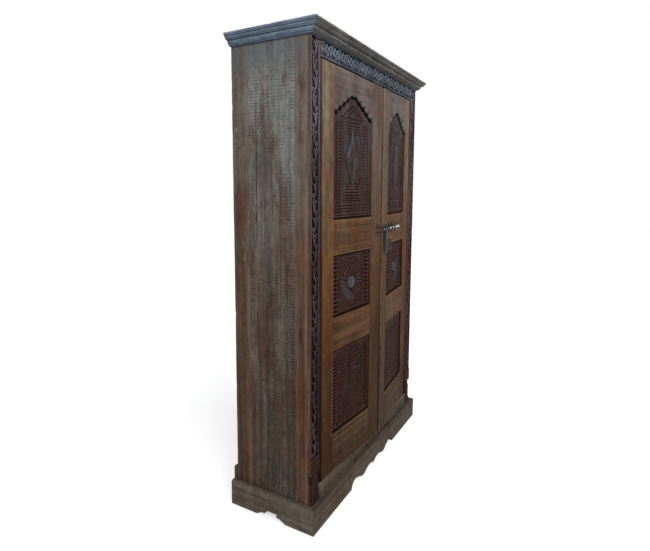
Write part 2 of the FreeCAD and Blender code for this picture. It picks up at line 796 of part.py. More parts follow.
def main():
    build_posts()
    build_front_rails()
    build_sides()
    build_back()
    build_boards_inside()
    build_cornice()
    build_plinth()
    build_stiles()
    build_rails()
    build_panels()
    build_latch()
    open_doors()

    whole = Part.makeCompound(list(pieces.values())).BoundBox
    shift = -(whole.YMin + whole.YMax) / 2
    os.makedirs("parts", exist_ok=True)
    for name, shape in pieces.items():
        shape = shape.copy()
        shape.translate(vec(0, shift, 0))
        shape.exportStep("parts/" + name + ".step")
        print(name, len(shape.Solids), shape.isValid(), round(shape.Volume))
    print("nodes", len(pieces))
    print("shift in y", shift)
    print("box", whole.XMin, whole.XMax, whole.YMin + shift, whole.YMax + shift, whole.ZMin, whole.ZMax)
    for label, sign in (("left", -1), ("right", 1)):
        print(label, "pivot", sign * pivot_x, pivot_y + shift)
    for label, u, depth, z in (("bolt axis", guide_places[0], -bolt_standoff, bolt_height),
                               ("hasp axis", hasp_place, -bolt_standoff, bolt_height),
                               ("ring axis", ring_place, -eye_standoff,
                                ring_eye_height - (eye_hole - ring_wire - ring_hang_gap))):
        x, y, z = door_world(1, u, depth, z)
        print(label, x, y + shift, z)
    angle = math.radians(ajar_angle)
    print("bolt way", -math.cos(angle), -math.sin(angle))


main()
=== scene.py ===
import json
import math
import bpy
import numpy as np
from mathutils import Matrix, Vector


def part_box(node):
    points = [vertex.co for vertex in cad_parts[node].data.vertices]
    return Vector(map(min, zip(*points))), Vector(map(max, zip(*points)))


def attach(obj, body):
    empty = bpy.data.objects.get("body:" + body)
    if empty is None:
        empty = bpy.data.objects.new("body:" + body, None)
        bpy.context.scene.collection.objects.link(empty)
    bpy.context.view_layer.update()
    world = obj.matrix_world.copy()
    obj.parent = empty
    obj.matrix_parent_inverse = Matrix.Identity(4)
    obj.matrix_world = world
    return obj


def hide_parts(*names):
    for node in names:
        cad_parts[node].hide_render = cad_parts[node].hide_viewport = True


# Looks of the two-door carved cabinet. Blender's units are metres; shapes are
# drawn in millimetres and scaled by MM when their mesh is made.

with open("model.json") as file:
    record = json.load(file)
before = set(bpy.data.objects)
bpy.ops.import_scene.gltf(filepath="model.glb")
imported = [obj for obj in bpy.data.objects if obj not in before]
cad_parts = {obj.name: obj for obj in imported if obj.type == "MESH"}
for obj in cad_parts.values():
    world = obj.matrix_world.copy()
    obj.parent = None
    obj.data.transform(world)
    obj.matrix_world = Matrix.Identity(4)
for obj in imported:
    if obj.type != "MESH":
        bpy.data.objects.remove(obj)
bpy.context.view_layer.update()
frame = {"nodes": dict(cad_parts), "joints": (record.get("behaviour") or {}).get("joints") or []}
nodes = frame["nodes"]
joints = {joint["name"]: joint for joint in frame["joints"]}
MM = 0.001
# The two sides and their direction along X
SIDES = (("left", -1), ("right", 1))

# Photograph's camera, in metres and radians, with its image taken as 650 x 551
IMAGE_WIDTH, IMAGE_HEIGHT = 650, 551
CAMERA_PLACE = (-2.1010, -1.0770, 1.3755)
CAMERA_YAW, CAMERA_PITCH, CAMERA_ROLL = 1.0568, -0.1095, 0.0044
FOCAL_PIXELS = 475.09
CENTRE_PIXEL = (324.28, 241.47)
SENSOR = 36.0

# Door sizes that the carving follows, in millimetres
DOOR_THICKNESS = 32.0
HALF_THICKNESS = DOOR_THICKNESS / 2
PANEL_RECESS = 13.0
PANEL_THICKNESS = PANEL_RECESS + 10
FIELD_RISE = 4.0
CHAMFER_WIDTH = 9.0
CHAMFER_DEPTH = 3.6
BORDER = 6.5
JOINT_GAP = 0.25


# Noise and small shape functions

LATTICE = 32


class Noise:
    """Smooth value noise on a seeded lattice, from 0 to 1."""

    def __init__(self, seed):
        self.table = np.random.default_rng(seed).random((LATTICE, LATTICE, LATTICE))

    def __call__(self, x, y=0.0, z=0.0):
        x, y, z = np.broadcast_arrays(np.asarray(x, float), y, z)
        total = np.zeros(x.shape)
        cells = [np.floor(c).astype(int) for c in (x, y, z)]
        parts = [c - cell for c, cell in zip((x, y, z), cells)]
        parts = [p * p * (3 - 2 * p) for p in parts]
        for corner in range(8):
            weight = np.ones(x.shape)
            index = []
            for axis in range(3):
                bit = (corner >> axis) & 1
                weight = weight * (parts[axis] if bit else 1 - parts[axis])
                index.append((cells[axis] + bit) % LATTICE)
            total += weight * self.table[tuple(index)]
        return total


noise = Noise(7)
fine_noise = Noise(11)


def smooth(t):
    t = np.clip(t, 0, 1)
    return t * t * (3 - 2 * t)


def arris(distance, radius):
    """Depth of a rounded edge at a distance from it."""
    inside = np.clip(radius - distance, 0, radius)
    return radius - np.sqrt(np.maximum(radius ** 2 - inside ** 2, 0))


def from_edge(u, z, left, right, foot, top):
    """Distance in from the nearest side of a box."""
    return np.minimum(np.minimum(u - left, right - u), np.minimum(z - foot, top - z))


def blur(field, cells):
    """Box blur of a grid, twice, to tell hollows from raised parts."""
    for _ in range(2):
        for axis in (0, 1):
            padded = np.concatenate([np.repeat(field.take([0], axis), cells, axis), field,
                                     np.repeat(field.take([-1], axis), cells, axis)], axis)
            total = np.cumsum(padded, axis)
            total = np.concatenate([np.zeros_like(total.take([0], axis)), total], axis)
            width = 2 * cells + 1
            count = field.shape[axis]
            field = (total.take(range(width, width + count), axis) - total.take(range(count), axis)) / width
    return field


EDGE_TICKS = (0, 0.5, 1.2, 2.2, 3.6, 5.6, 8.4)


def ticks(start, end, step, extra=()):
    """Grid lines from start to end, closer together at both ends and round extra places."""
    places = list(np.linspace(start, end, max(2, int(round((end - start) / step)) + 1)))
    close = [start + e for e in EDGE_TICKS] + [end - e for e in EDGE_TICKS]
    close += [e for e in extra if start < e < end]
    close = sorted(set(round(c, 4) for c in close if start <= c <= end))
    places = [p for p in places if min(abs(p - c) for c in close) > 0.45 * step]
    return np.array(sorted(places + close))


# Meshes and pieces

def box_mm(node):
    low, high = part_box(node)
    return np.array(low) / MM, np.array(high) / MM


class Shell:
    """A closed surface: points in millimetres, four-sided faces, larger faces and point values."""

    def __init__(self, points, quads, rims, **values):
        self.points = np.asarray(points, float).reshape(-1, 3)
        self.quads = np.asarray(quads, int).reshape(-1, 4)
        self.rims = [np.asarray(rim, int) for rim in rims]
        self.values = {name: np.asarray(value, float).ravel() for name, value in values.items()}

    def moved(self, change):
        """The shell with its points changed by a function."""
        return Shell(change(self.points), self.quads, self.rims, **self.values)

    def volume(self):
        p = self.points - self.points.mean(0)
        total = 0.0
        for a, b, c in ((0, 1, 2), (0, 2, 3)):
            q = self.quads
            total += np.einsum("ij,ij->i", p[q[:, a]], np.cross(p[q[:, b]], p[q[:, c]])).sum()
        for rim in self.rims:
            first, second, third = p[rim[0]], p[rim[1:-1]], p[rim[2:]]
            total += (np.cross(second, third) @ first).sum()
        return total


POINT_VALUES = ("wear", "dirt", "coat", "tone")
GRAIN_SPREAD = 9.0
SMOOTH_ANGLE = 38
BACK_ARRIS = 1.2
BOARD_LOOP_STEP = 14
CORNERS = np.array([(1, 1), (-1, 1), (-1, -1), (1, -1)])


def grain_offset(name):
    """A place in the wood's figure, another one for every piece."""
    seed = sum((index + 1) * ord(letter) for index, letter in enumerate(name))
    return np.random.default_rng(seed).random(4)


def make_piece(name, shells, body, material, grain="z", replaces=(), matrix=None):
    """Makes one mesh object of closed shells, ties it to its body and hides the nodes that it replaces."""
    points, quads, rims = [], [], []
    values = {key: [] for key in POINT_VALUES}
    base = 0
    offset = grain_offset(name)
    for shell in shells:
        turned = shell.volume() < 0
        points.append(shell.points)
        quads.append((shell.quads[:, ::-1] if turned else shell.quads) + base)
        rims += [(rim[::-1] if turned else rim) + base for rim in shell.rims]
        for key in POINT_VALUES:
            default = offset[3] if key == "tone" else 0.0
            values[key].append(shell.values.get(key, np.full(len(shell.points), default)))
        base += len(shell.points)
    points = np.concatenate(points)
    quads = np.concatenate(quads)
    mesh = bpy.data.meshes.new(name)
    mesh.vertices.add(len(points))
    mesh.vertices.foreach_set("co", (points * MM).astype(np.float32).ravel())
    sizes = np.concatenate([np.full(len(quads), 4), [len(rim) for rim in rims]]).astype(int)
    loops = np.concatenate([quads.ravel()] + rims).astype(np.int32)
    mesh.loops.add(len(loops))
    mesh.loops.foreach_set("vertex_index", loops)
    mesh.polygons.add(len(sizes))
    mesh.polygons.foreach_set("loop_start", (np.cumsum(sizes) - sizes).astype(np.int32))
    mesh.update(calc_edges=True)
    mesh.validate()
    order = {"x": (0, 1, 2), "y": (1, 0, 2), "z": (2, 0, 1)}[grain]
    figure = points[:, order] * MM + offset[:3] * GRAIN_SPREAD
    attribute = mesh.attributes.new("grain", "FLOAT_VECTOR", "POINT")
    attribute.data.foreach_set("vector", figure.astype(np.float32).ravel())
    for key in POINT_VALUES:
        attribute = mesh.attributes.new(key, "FLOAT", "POINT")
        attribute.data.foreach_set("value", np.concatenate(values[key]).astype(np.float32))
    mesh.shade_smooth()
    mesh.set_sharp_from_angle(angle=math.radians(SMOOTH_ANGLE))
    obj = bpy.data.objects.new(name, mesh)
    bpy.context.scene.collection.objects.link(obj)
    mesh.materials.append(material)
    if matrix is not None:
        obj.matrix_world = matrix
    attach(obj, body)
    if replaces:
        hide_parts(*replaces)
    return obj


def slab(across, along, depth, thickness, side_dirt=0.0, **values):
    """A board whose face is a grid of depths: across by along, with a flat back."""
    rows, columns = depth.shape
    wide, tall = np.meshgrid(across, along)
    face = np.stack([wide, depth, tall], -1).reshape(-1, 3)
    index = np.arange(rows * columns).reshape(rows, columns)
    cells = [index[:-1, :-1], index[:-1, 1:], index[1:, 1:], index[1:, :-1]]
    quads = [np.stack(cells, -1).reshape(-1, 4)]
    ring = np.concatenate([index[0, :-1], index[:-1, -1], index[-1, :0:-1], index[:0:-1, 0]])
    points = [face]
    rim = face[ring]
    rings = [ring]
    low = np.array([across[0], 0, along[0]])
    high = np.array([across[-1], thickness, along[-1]])
    near_face = np.minimum(rim[:, 1] + 1.5, thickness - 2 * BACK_ARRIS)
    for side_depth, inset in ((near_face, 0.0), (thickness - BACK_ARRIS, 0.0), (thickness, BACK_ARRIS)):
        edge = rim.copy()
        edge[:, 1] = side_depth
        for axis in (0, 2):
            edge[:, axis] = np.clip(edge[:, axis], low[axis] + inset, high[axis] - inset)
        start = sum(len(p) for p in points)
        points.append(edge)
        rings.append(np.arange(start, start + len(edge)))
    for first, second in zip(rings, rings[1:]):
        quads.append(np.stack([first, second, np.roll(second, -1), np.roll(first, -1)], -1))
    # The board's sides take a painted shade of their own
    side_points, back_points = 2 * len(rim), len(rim)
    padded = {key: np.concatenate([np.asarray(value, float).ravel(),
                                   np.full(side_points, side_dirt if key == "dirt" else 0.0),
                                   np.zeros(back_points)]) for key, value in values.items()}
    return Shell(np.concatenate(points), np.concatenate(quads), [rings[-1][::-1]], **padded)


def loft(sections, **values):
    """A closed bar through sections, each a closed loop with as many points."""
    count, size, _ = sections.shape
    index = np.arange(count * size).reshape(count, size)
    after = np.roll(index, -1, 1)
    quads = np.stack([index[:-1], after[:-1], after[1:], index[1:]], -1)
    return Shell(sections, quads, [index[0], index[-1][::-1]], **values)


def board(low, high, axis, step=10.0, radius=2.2, chip=2.0, seed=0):
    """A sawn board with rounded, chipped edges. It stays inside its box."""
    size = high - low
    b, c = [i for i in range(3) if i != axis]
    half = np.array([size[b], size[c]]) / 2
    radius = min(radius, 0.45 * half.min())
    loop, normals, corner = [], [], []
    for quarter in range(4):
        for turn in (0, 30, 60, 90):
            angle = math.radians(90 * quarter + turn)
            normal = np.array([math.cos(angle), math.sin(angle)])
            loop.append(CORNERS[quarter] * (half - radius) + radius * normal)
            normals.append(normal)
            corner.append(0.7 if turn in (0, 90) else 1.0)
        start = loop[-1]
        end = CORNERS[(quarter + 1) % 4] * (half - radius) + radius * normals[-1]
        parts = max(1, int(round(np.linalg.norm(end - start) / BOARD_LOOP_STEP)))
        for part in range(1, parts):
            loop.append(start + (end - start) * part / parts)
            normals.append(normals[-1])
            corner.append(0.0)
    loop, normals, corner = np.array(loop), np.array(normals), np.array(corner)
    turns = np.radians((90, 55, 25, 0))
    ends = [(radius * (1 - math.sin(t)), 0.85 * radius * (1 - math.cos(t))) for t in turns]
    inner = np.linspace(radius, size[axis] - radius, max(2, int(size[axis] / step)))
    stations = ends[:-1] + [(p, 0.0) for p in inner] + [(size[axis] - p, e) for p, e in ends[-2::-1]]
    place = np.array([s[0] for s in stations])
    inset = np.array([s[1] for s in stations])
    centre = (low + high) / 2
    rough = fine_noise(place[:, None] / 23, loop[None, :, 0] / 11 + seed, loop[None, :, 1] / 11)
    worn = noise(place[:, None] / 61 + 3 * seed, loop[None, :, 0] / 40, loop[None, :, 1] / 40 + seed)
    cut = 0.35 * rough + corner * (0.5 * worn + chip * smooth((rough * worn - 0.42) / 0.2))
    flat = loop[None] - (inset[:, None] + cut)[..., None] * normals[None]
    points = np.zeros((len(place), len(loop), 3))
    points[..., axis] = low[axis] + place[:, None]
    points[..., b] = centre[b] + flat[..., 0]
    points[..., c] = centre[c] + flat[..., 1]
    wear = np.broadcast_to(corner * (0.35 + 0.65 * worn), cut.shape)
    return loft(points, wear=wear)


# Materials

class Graph:
    """A node tree with short calls."""

    def __init__(self, tree):
        self.tree = tree

    def node(self, kind, inputs=(), **settings):
        """A new node with its settings, and then its inputs as pairs of socket and value."""
        made = self.tree.nodes.new(kind)
        for key, value in settings.items():
            setattr(made, key, value)
        for socket, value in inputs:
            self.put(value, made.inputs[socket])
        return made

    def put(self, value, socket):
        if isinstance(value, bpy.types.NodeSocket):
            self.tree.links.new(value, socket)
        else:
            socket.default_value = value

    def attribute(self, name, output="Fac"):
        return self.node("ShaderNodeAttribute", attribute_name=name).outputs[output]

    def math(self, operation, *values, clamp=False):
        made = self.node("ShaderNodeMath", enumerate(values), operation=operation, use_clamp=clamp)
        return made.outputs[0]

    def times(self, product, *values, clamp=False):
        """The product of sockets and numbers."""
        for value in values:
            product = self.math("MULTIPLY", product, value, clamp=clamp)
        return product

    def stretch(self, vector, scale=(1, 1, 1), shift=(0, 0, 0), turn=(0, 0, 0)):
        inputs = (("Vector", vector), ("Scale", scale), ("Location", shift), ("Rotation", turn))
        return self.node("ShaderNodeMapping", inputs).outputs[0]

    def noise(self, vector, scale, detail=3.0, roughness=0.55, distortion=0.0, shift=(0, 0, 0)):
        """Noise over a vector that is first scaled on each axis and then shifted."""
        inputs = (("Vector", self.stretch(vector, scale, shift)), ("Scale", 1.0), ("Detail", detail),
                  ("Roughness", roughness), ("Distortion", distortion))
        return self.node("ShaderNodeTexNoise", inputs).outputs["Fac"]

    def ramp(self, value, low, high, tints):
        """Tints spread evenly over a range of values."""
        made = self.node("ShaderNodeValToRGB", ((0, value),))
        elements = made.color_ramp.elements
        while len(elements) < len(tints):
            elements.new(0.5)
        for index, (element, tint) in enumerate(zip(elements, tints)):
            element.position = low + (high - low) * index / (len(tints) - 1)
            element.color = as_colour(tint)
        return made.outputs[0]

    def range(self, value, low, high, new_low=0.0, new_high=1.0):
        inputs = enumerate((value, low, high, new_low, new_high))
        return self.node("ShaderNodeMapRange", inputs, interpolation_type="SMOOTHSTEP").outputs[0]

    def mix(self, factor, a, b, blend="MIX"):
        inputs = (("Factor", factor), ("A", as_colour(a)), ("B", as_colour(b)))
        return self.node("ShaderNodeMix", inputs, data_type="RGBA", blend_type=blend).outputs["Result"]


def as_colour(value):
    """A socket as it is, and a tint in screen values of 0 to 255 as a colour of the scene."""
    if isinstance(value, bpy.types.NodeSocket):
        return value
    shares = [channel / 255 for channel in value]
    return (*[c / 12.92 if c <= 0.04045 else ((c + 0.055) / 1.055) ** 2.4 for c in shares], 1)


def new_material(name):
    """A material with its node graph and its main shader."""
    material = bpy.data.materials.new(name)
    material.use_nodes = True
    return material, Graph(material.node_tree), material.node_tree.nodes["Principled BSDF"]


def set_surface(g, shader, values, relief, strength, distance):
    """Gives a shader its values and a bump from a relief."""
    raised = g.node("ShaderNodeBump", (("Strength", strength), ("Distance", distance), ("Height", relief)))
    for key, value in {**values, "Normal": raised.outputs[0]}.items():
        g.put(value, shader.inputs[key])


# Heights in metres over which the painted shade, the wash with its painted light and the painted light near
# the top change
SHADE_RISE, WASH_AND_LIGHT_RISE, PAINTED_TOP_LIGHT_RISE = (0.1, 1.25), (0.9, 1.95), (1.74, 1.93)

# How fine each layer of the wood is: along and twice across the grain, per metre
BANDS, STREAKS, FIBRES, PORES = (0.9, 17, 17), (1.6, 75, 75), (7, 420, 420), (22, 900, 900)
KNOTS, STRANDS, FLAKES, FLAKE_ZONES = (3.1, 9.5, 9.5), (3.0, 230, 230), (34, 150, 150), (2.1, 20, 20)
SAW_RUNS, SAW_STRETCH, SAW_SCALE = (95, 22, 22), (1, 0.35, 0.35), 25.5

# How fine each layer is that ignores the grain: twice across the object and up it, per metre
BLOTCHES, CLOUDS, WASHES = (7, 7, 2.6), (11, 11, 3.4), (17, 17, 10)
MOTTLE, SAW_PATCHES = (46, 46, 30), (9, 9, 4.2)

# Ranges of noise over which tints are spread, and over which pores and paint flakes show
FIGURE_RANGE, TINT_RANGE, PORE_RANGE = (0.36, 0.64), (0.38, 0.62), (0.60, 0.72)
PAINT_CHIPS = (150, 156, 153)
GRAIN_TURNS = {"x": (0, 0, 0), "y": (0, 0, -math.pi / 2), "z": (0, math.pi / 2, 0)}
WOOD_GLOSS, WOOD_BUMP, WOOD_BUMP_DISTANCE = 0.02, 0.55, 0.0011
IRON_GLOSS, IRON_BUMP, IRON_BUMP_DISTANCE = 0.25, 0.5, 0.0006
IRON_PITS, IRON_PATCHES, RUST_RANGE = (420, 420, 420), (60, 60, 60), (0.52, 0.66)


def wood(name, dark, mid, light, wash, wash_and_light_low, wash_and_light_high, shade_low, rough, dust_and_highlight, grime_and_shade, knots,
         coat=None, upper_coat_and_light=None, stains=None, stain_share=0.4, saw=0.0, paint=0.0, wear_low=1.0,
         lines=0.0, spots=0.16, painted_top_light=None, axis=None, bump=1.0):
    """Old wood: grain lines, streaks, pores, knots, a grey wash, stains, dirt and painted shade in hollows,
    wear and painted highlights on edges, and painted shade and light that change with height.

    Colours are screen values. With no axis the figure follows the piece's own grain values,
    and with one it runs along that axis of the object.
    """
    material, g, shader = new_material(name)
    place = g.node("ShaderNodeTexCoord").outputs["Object"]
    height = g.node("ShaderNodeSeparateXYZ", ((0, place),)).outputs["Z"]
    grain = g.attribute("grain", "Vector") if axis is None else g.stretch(place, turn=GRAIN_TURNS[axis])
    tone, wear, dirt = g.attribute("tone"), g.attribute("wear"), g.attribute("dirt")

    # Figure of the grain, with stains in clouds
    bands = g.noise(grain, BANDS, distortion=0.7)
    streaks = g.noise(grain, STREAKS, detail=4, roughness=0.6)
    fibres = g.noise(grain, FIBRES, detail=2)
    pores = g.noise(grain, PORES, detail=1)
    blotches = g.noise(place, BLOTCHES, detail=5, roughness=0.62)
    figure = g.math("ADD", g.times(bands, 0.5), g.times(streaks, 0.5))
    colour = g.ramp(figure, *FIGURE_RANGE, (dark, mid, light))
    if stains:
        clouds = g.noise(place, CLOUDS, detail=5, roughness=0.65, shift=(3.1, 1.7, 0.4))
        colour = g.mix(stain_share, colour, g.ramp(clouds, *FIGURE_RANGE, stains))

    # Grey wash in patches, stronger with height, where it also stands for painted light on the upper parts
    patchy = g.math("ADD", 0.4, g.times(g.range(blotches, *TINT_RANGE), 1.1))
    wash_and_light_share = g.times(g.range(height, *WASH_AND_LIGHT_RISE, wash_and_light_low, wash_and_light_high), patchy, clamp=True)
    tints = g.noise(place, WASHES, detail=5, roughness=0.7, shift=(5.3, 0.4, 2.2))
    colour = g.mix(wash_and_light_share, colour, g.ramp(tints, *TINT_RANGE, wash))

    # Light and dark, from painted shade that darkens towards the foot, the piece's tone, mottles, grain and
    # knots
    mottle = g.noise(place, MOTTLE, detail=4, roughness=0.65, shift=(0.9, 2.3, 1.1))
    shade = g.times(g.range(height, *SHADE_RISE, shade_low, 1.0), g.math("ADD", 0.86, g.times(tone, 0.28)),
                    g.range(mottle, 0.30, 0.70, 1 - spots, 1 + spots),
                    g.range(streaks, 0.25, 0.75, 0.86, 1.13), g.range(fibres, 0.25, 0.75, 0.84, 1.14),
                    g.range(pores, *PORE_RANGE, 1.0, 0.70))
    if knots:
        inputs = (("Vector", g.stretch(grain, KNOTS)), ("Scale", 1.0))
        cells = g.node("ShaderNodeTexVoronoi", inputs, feature="F1")
        knot = g.range(cells.outputs["Distance"], 0.05, 0.16, 1.0, 0.0)
        shade = g.times(shade, g.math("SUBTRACT", 1.0, g.times(knot, knots)))
    relief = g.math("ADD", g.times(fibres, 0.35), g.times(streaks, 0.65))
    relief = g.math("SUBTRACT", relief, g.times(g.range(pores, *PORE_RANGE), 0.25))
    if saw:
        inputs = (("Vector", g.stretch(grain, SAW_STRETCH)), ("Scale", SAW_SCALE), ("Distortion", 3.0),
                  ("Detail", 2.5), ("Detail Scale", 0.7))
        teeth = g.node("ShaderNodeTexWave", inputs, wave_type="BANDS", bands_direction="X",
                       wave_profile="SIN")
        runs = g.range(g.noise(grain, SAW_RUNS, detail=2), 0.38, 0.56, 0.15, 1.0)
        patches = g.range(g.noise(place, SAW_PATCHES, shift=(1.7, 0.6, 2.9)), 0.36, 0.54)
        sawn = g.times(g.range(teeth.outputs["Fac"], 0.80, 0.99), runs, patches, saw)
        shade = g.times(shade, g.math("SUBTRACT", 1.0, g.times(sawn, 0.54)))
        relief = g.math("SUBTRACT", relief, g.times(sawn, 0.7))
    grey = g.node("ShaderNodeCombineColor", ((0, shade), (1, shade), (2, shade))).outputs[0]
    colour = g.mix(1.0, colour, grey, "MULTIPLY")

    # Paint, paler towards the top with painted light, dark strands, a film of painted light near the top,
    # worn edges with painted highlights, dirt with painted shade, and flakes of white
    if coat:
        painted = g.ramp(figure, *TINT_RANGE, coat)
        # A paler, bluer coat towards the top: partly painted light
        if upper_coat_and_light:
            painted = g.mix(g.range(height, *WASH_AND_LIGHT_RISE), painted, g.ramp(figure, *TINT_RANGE, upper_coat_and_light))
        colour = g.mix(g.attribute("coat"), colour, painted)
    if lines:
        strands = g.noise(grain, STRANDS, roughness=0.7, distortion=0.3, shift=(0.7, 0.2, 0.9))
        drawn = g.times(g.range(strands, 0.57, 0.63), g.range(blotches, 0.40, 0.60, 0.35, 1.0))
        colour = g.mix(g.times(drawn, lines, clamp=True), colour, grime_and_shade)
        relief = g.math("SUBTRACT", relief, g.times(drawn, 0.4))
    # Painted light: a paler, cooler film near the very top
    if painted_top_light:
        share = g.times(g.range(height, *PAINTED_TOP_LIGHT_RISE, 0.0, 0.8), g.range(blotches, 0.3, 0.7, 0.5, 1.0))
        colour = g.mix(share, colour, painted_top_light)
    # Worn places with painted highlights take the pale colour, and dirt with painted shade takes the dark one
    worn = g.times(wear, g.range(blotches, 0.34, 0.60, 0.3, 1.0))
    # Painted highlights grow stronger towards the top
    if wear_low < 1:
        worn = g.times(worn, g.range(height, *WASH_AND_LIGHT_RISE, wear_low, 1.0))
    colour = g.mix(g.times(worn, 0.75, clamp=True), colour, dust_and_highlight)
    soiled_and_shaded = g.times(dirt, g.range(streaks, 0.2, 0.6, 1.0, 0.85))
    colour = g.mix(g.times(soiled_and_shaded, 0.92, clamp=True), colour, grime_and_shade)
    if paint:
        flakes = g.range(g.noise(grain, FLAKES, roughness=0.7), 0.58, 0.61)
        zones = g.range(g.noise(grain, FLAKE_ZONES, detail=1), 0.60, 0.66)
        chips = g.times(flakes, zones, g.range(wear, 0.3, 0.6, 0.55, 1.0), paint)
        colour = g.mix(chips, colour, PAINT_CHIPS)
    matt = g.math("ADD", rough, g.times(g.math("SUBTRACT", blotches, 0.5), 0.25))
    matt = g.math("ADD", matt, g.times(dirt, 0.2), clamp=True)
    set_surface(g, shader, {"Base Color": colour, "Roughness": matt, "Specular IOR Level": WOOD_GLOSS},
                relief, WOOD_BUMP, WOOD_BUMP_DISTANCE * bump)
    return material


def iron(name, dark, light, rust, rough, metallic):
    """Forged iron: pitted, rubbed bright on raised places, with a little rust."""
    material, g, shader = new_material(name)
    place = g.node("ShaderNodeTexCoord").outputs["Object"]
    pits = g.noise(place, IRON_PITS, detail=4, roughness=0.65)
    patches = g.noise(place, IRON_PATCHES)
    bare = g.ramp(pits, 0.35, 0.65, (dark, light))
    values = {"Base Color": g.mix(g.times(g.range(patches, *RUST_RANGE), 0.6), bare, rust),
              "Roughness": g.range(pits, 0.3, 0.7, rough + 0.12, rough - 0.08),
              "Metallic": g.range(patches, *RUST_RANGE, metallic, metallic * 0.4),
              "Specular IOR Level": IRON_GLOSS}
    set_surface(g, shader, values, pits, IRON_BUMP, IRON_BUMP_DISTANCE)
    return material


# Tones of each wood, in screen values. Low shares are those at the foot and high ones those at the top
DOOR_TONES = dict(dark=(64, 38, 21), mid=(90, 58, 34), light=(114, 79, 47), wash_and_light_low=0.0, wash_and_light_high=0.72,
                  wash=((116, 98, 84), (122, 110, 96), (114, 110, 94)),
                  shade_low=0.44, rough=0.55, dust_and_highlight=(138, 112, 84), grime_and_shade=(16, 9, 6), knots=0.35, bump=0.7,
                  lines=0.6, spots=0.18, stain_share=0.5,
                  coat=((54, 54, 52), (78, 78, 72), (98, 98, 92)),
                  upper_coat_and_light=((66, 78, 98), (88, 98, 120), (108, 118, 138)),
                  stains=((52, 32, 20), (96, 54, 28), (84, 64, 40), (116, 75, 38)))
SIDE_TONES = dict(dark=(60, 46, 38), mid=(84, 66, 55), light=(106, 87, 74), wash_and_light_low=0.14, wash_and_light_high=0.94,
                  wash=((110, 102, 99), (124, 123, 118), (115, 119, 112), (126, 123, 121)),
                  shade_low=0.70, rough=0.75, dust_and_highlight=(126, 118, 108), grime_and_shade=(22, 17, 14), knots=0.4, bump=1.2,
                  lines=0.45, spots=0.20, stain_share=0.55,
                  stains=((52, 41, 36), (88, 60, 47), (74, 64, 58), (112, 102, 92)))
POST_TONES = dict(dark=(56, 37, 28), mid=(86, 61, 48), light=(110, 82, 65), wash_and_light_low=0.10, wash_and_light_high=0.62,
                  wash=((112, 98, 92), (118, 114, 106), (108, 112, 110)),
                  shade_low=0.84, rough=0.65, dust_and_highlight=(134, 116, 96), grime_and_shade=(20, 13, 10), knots=0.5, lines=0.6,
                  spots=0.18, stain_share=0.5,
                  stains=((52, 36, 29), (106, 58, 36), (80, 66, 57), (104, 74, 50)))
PANEL_TONES = dict(dark=(24, 11, 8), mid=(41, 21, 17), light=(62, 35, 28), wash_and_light_low=0.0, wash_and_light_high=0.9,
                   wash=((72, 60, 62), (78, 72, 74), (70, 62, 60)),
                   shade_low=0.9, rough=0.6, dust_and_highlight=(82, 60, 54), grime_and_shade=(8, 4, 4), knots=0.0, bump=0.7,
                   spots=0.18, coat=((52, 58, 66), (74, 82, 92), (98, 106, 116)),
                   stains=((34, 20, 18), (78, 34, 30), (50, 34, 29), (78, 54, 32), (42, 30, 30)))
CARVED_TONES = dict(dark=(60, 38, 28), mid=(88, 62, 47), light=(110, 82, 62), wash_and_light_low=0.0, wash_and_light_high=0.3,
                    wash=((96, 90, 92), (98, 96, 96)), shade_low=0.95, rough=0.6, dust_and_highlight=(138, 130, 136),
                    wear_low=0.35, grime_and_shade=(6, 4, 5), knots=0.0, bump=0.7, spots=0.22,
                    coat=((20, 10, 10), (35, 18, 18), (54, 33, 32)),
                    upper_coat_and_light=((29, 23, 26), (48, 41, 45), (71, 65, 69)))
FRIEZE_TONES = {**CARVED_TONES, "coat": ((34, 36, 44), (54, 58, 67), (78, 82, 92)), "upper_coat_and_light": None,
                "dust_and_highlight": (136, 142, 152), "grime_and_shade": (10, 13, 20), "wear_low": 1.0}
CORNICE_TONES = dict(dark=(60, 60, 60), mid=(84, 84, 83), light=(110, 110, 107), wash_and_light_low=0.2, wash_and_light_high=0.35,
                     wash=((94, 96, 98), (102, 104, 106)), shade_low=1.0, rough=0.6, dust_and_highlight=(156, 152, 142),
                     grime_and_shade=(16, 15, 16), knots=0.0, lines=0.7,
                     stains=((60, 59, 57), (90, 82, 74), (78, 85, 92)))
# The cornice's sides are a lighter, bluer copy of its front's wood: partly painted light
CORNICE_SIDE_TONES = {**CORNICE_TONES, "dark": (78, 91, 105), "mid": (105, 122, 141),
                      "light": (130, 149, 168), "wash": ((105, 124, 145), (118, 138, 159)), "lines": 0.4,
                      "dust_and_highlight": (152, 168, 182), "grime_and_shade": (20, 24, 30),
                      "stains": ((76, 87, 98), (110, 118, 125), (105, 129, 152))}
PLINTH_TONES = dict(dark=(52, 41, 33), mid=(80, 68, 57), light=(106, 92, 80), wash_and_light_low=0.25, wash_and_light_high=0.35,
                    wash=((94, 88, 78), (100, 100, 92)), shade_low=1.0, rough=0.7, dust_and_highlight=(134, 126, 115),
                    grime_and_shade=(18, 14, 11), knots=0.3, lines=0.6, spots=0.20,
                    stains=((64, 51, 43), (102, 82, 67), (86, 82, 76)))
# The plinth's sides are a lighter copy of its front's wood: painted light on the sides
PLINTH_SIDE_TONES = {**PLINTH_TONES, "dark": (66, 54, 45), "mid": (100, 87, 77), "light": (126, 113, 101),
                     "wash": ((112, 107, 98), (118, 120, 113))}
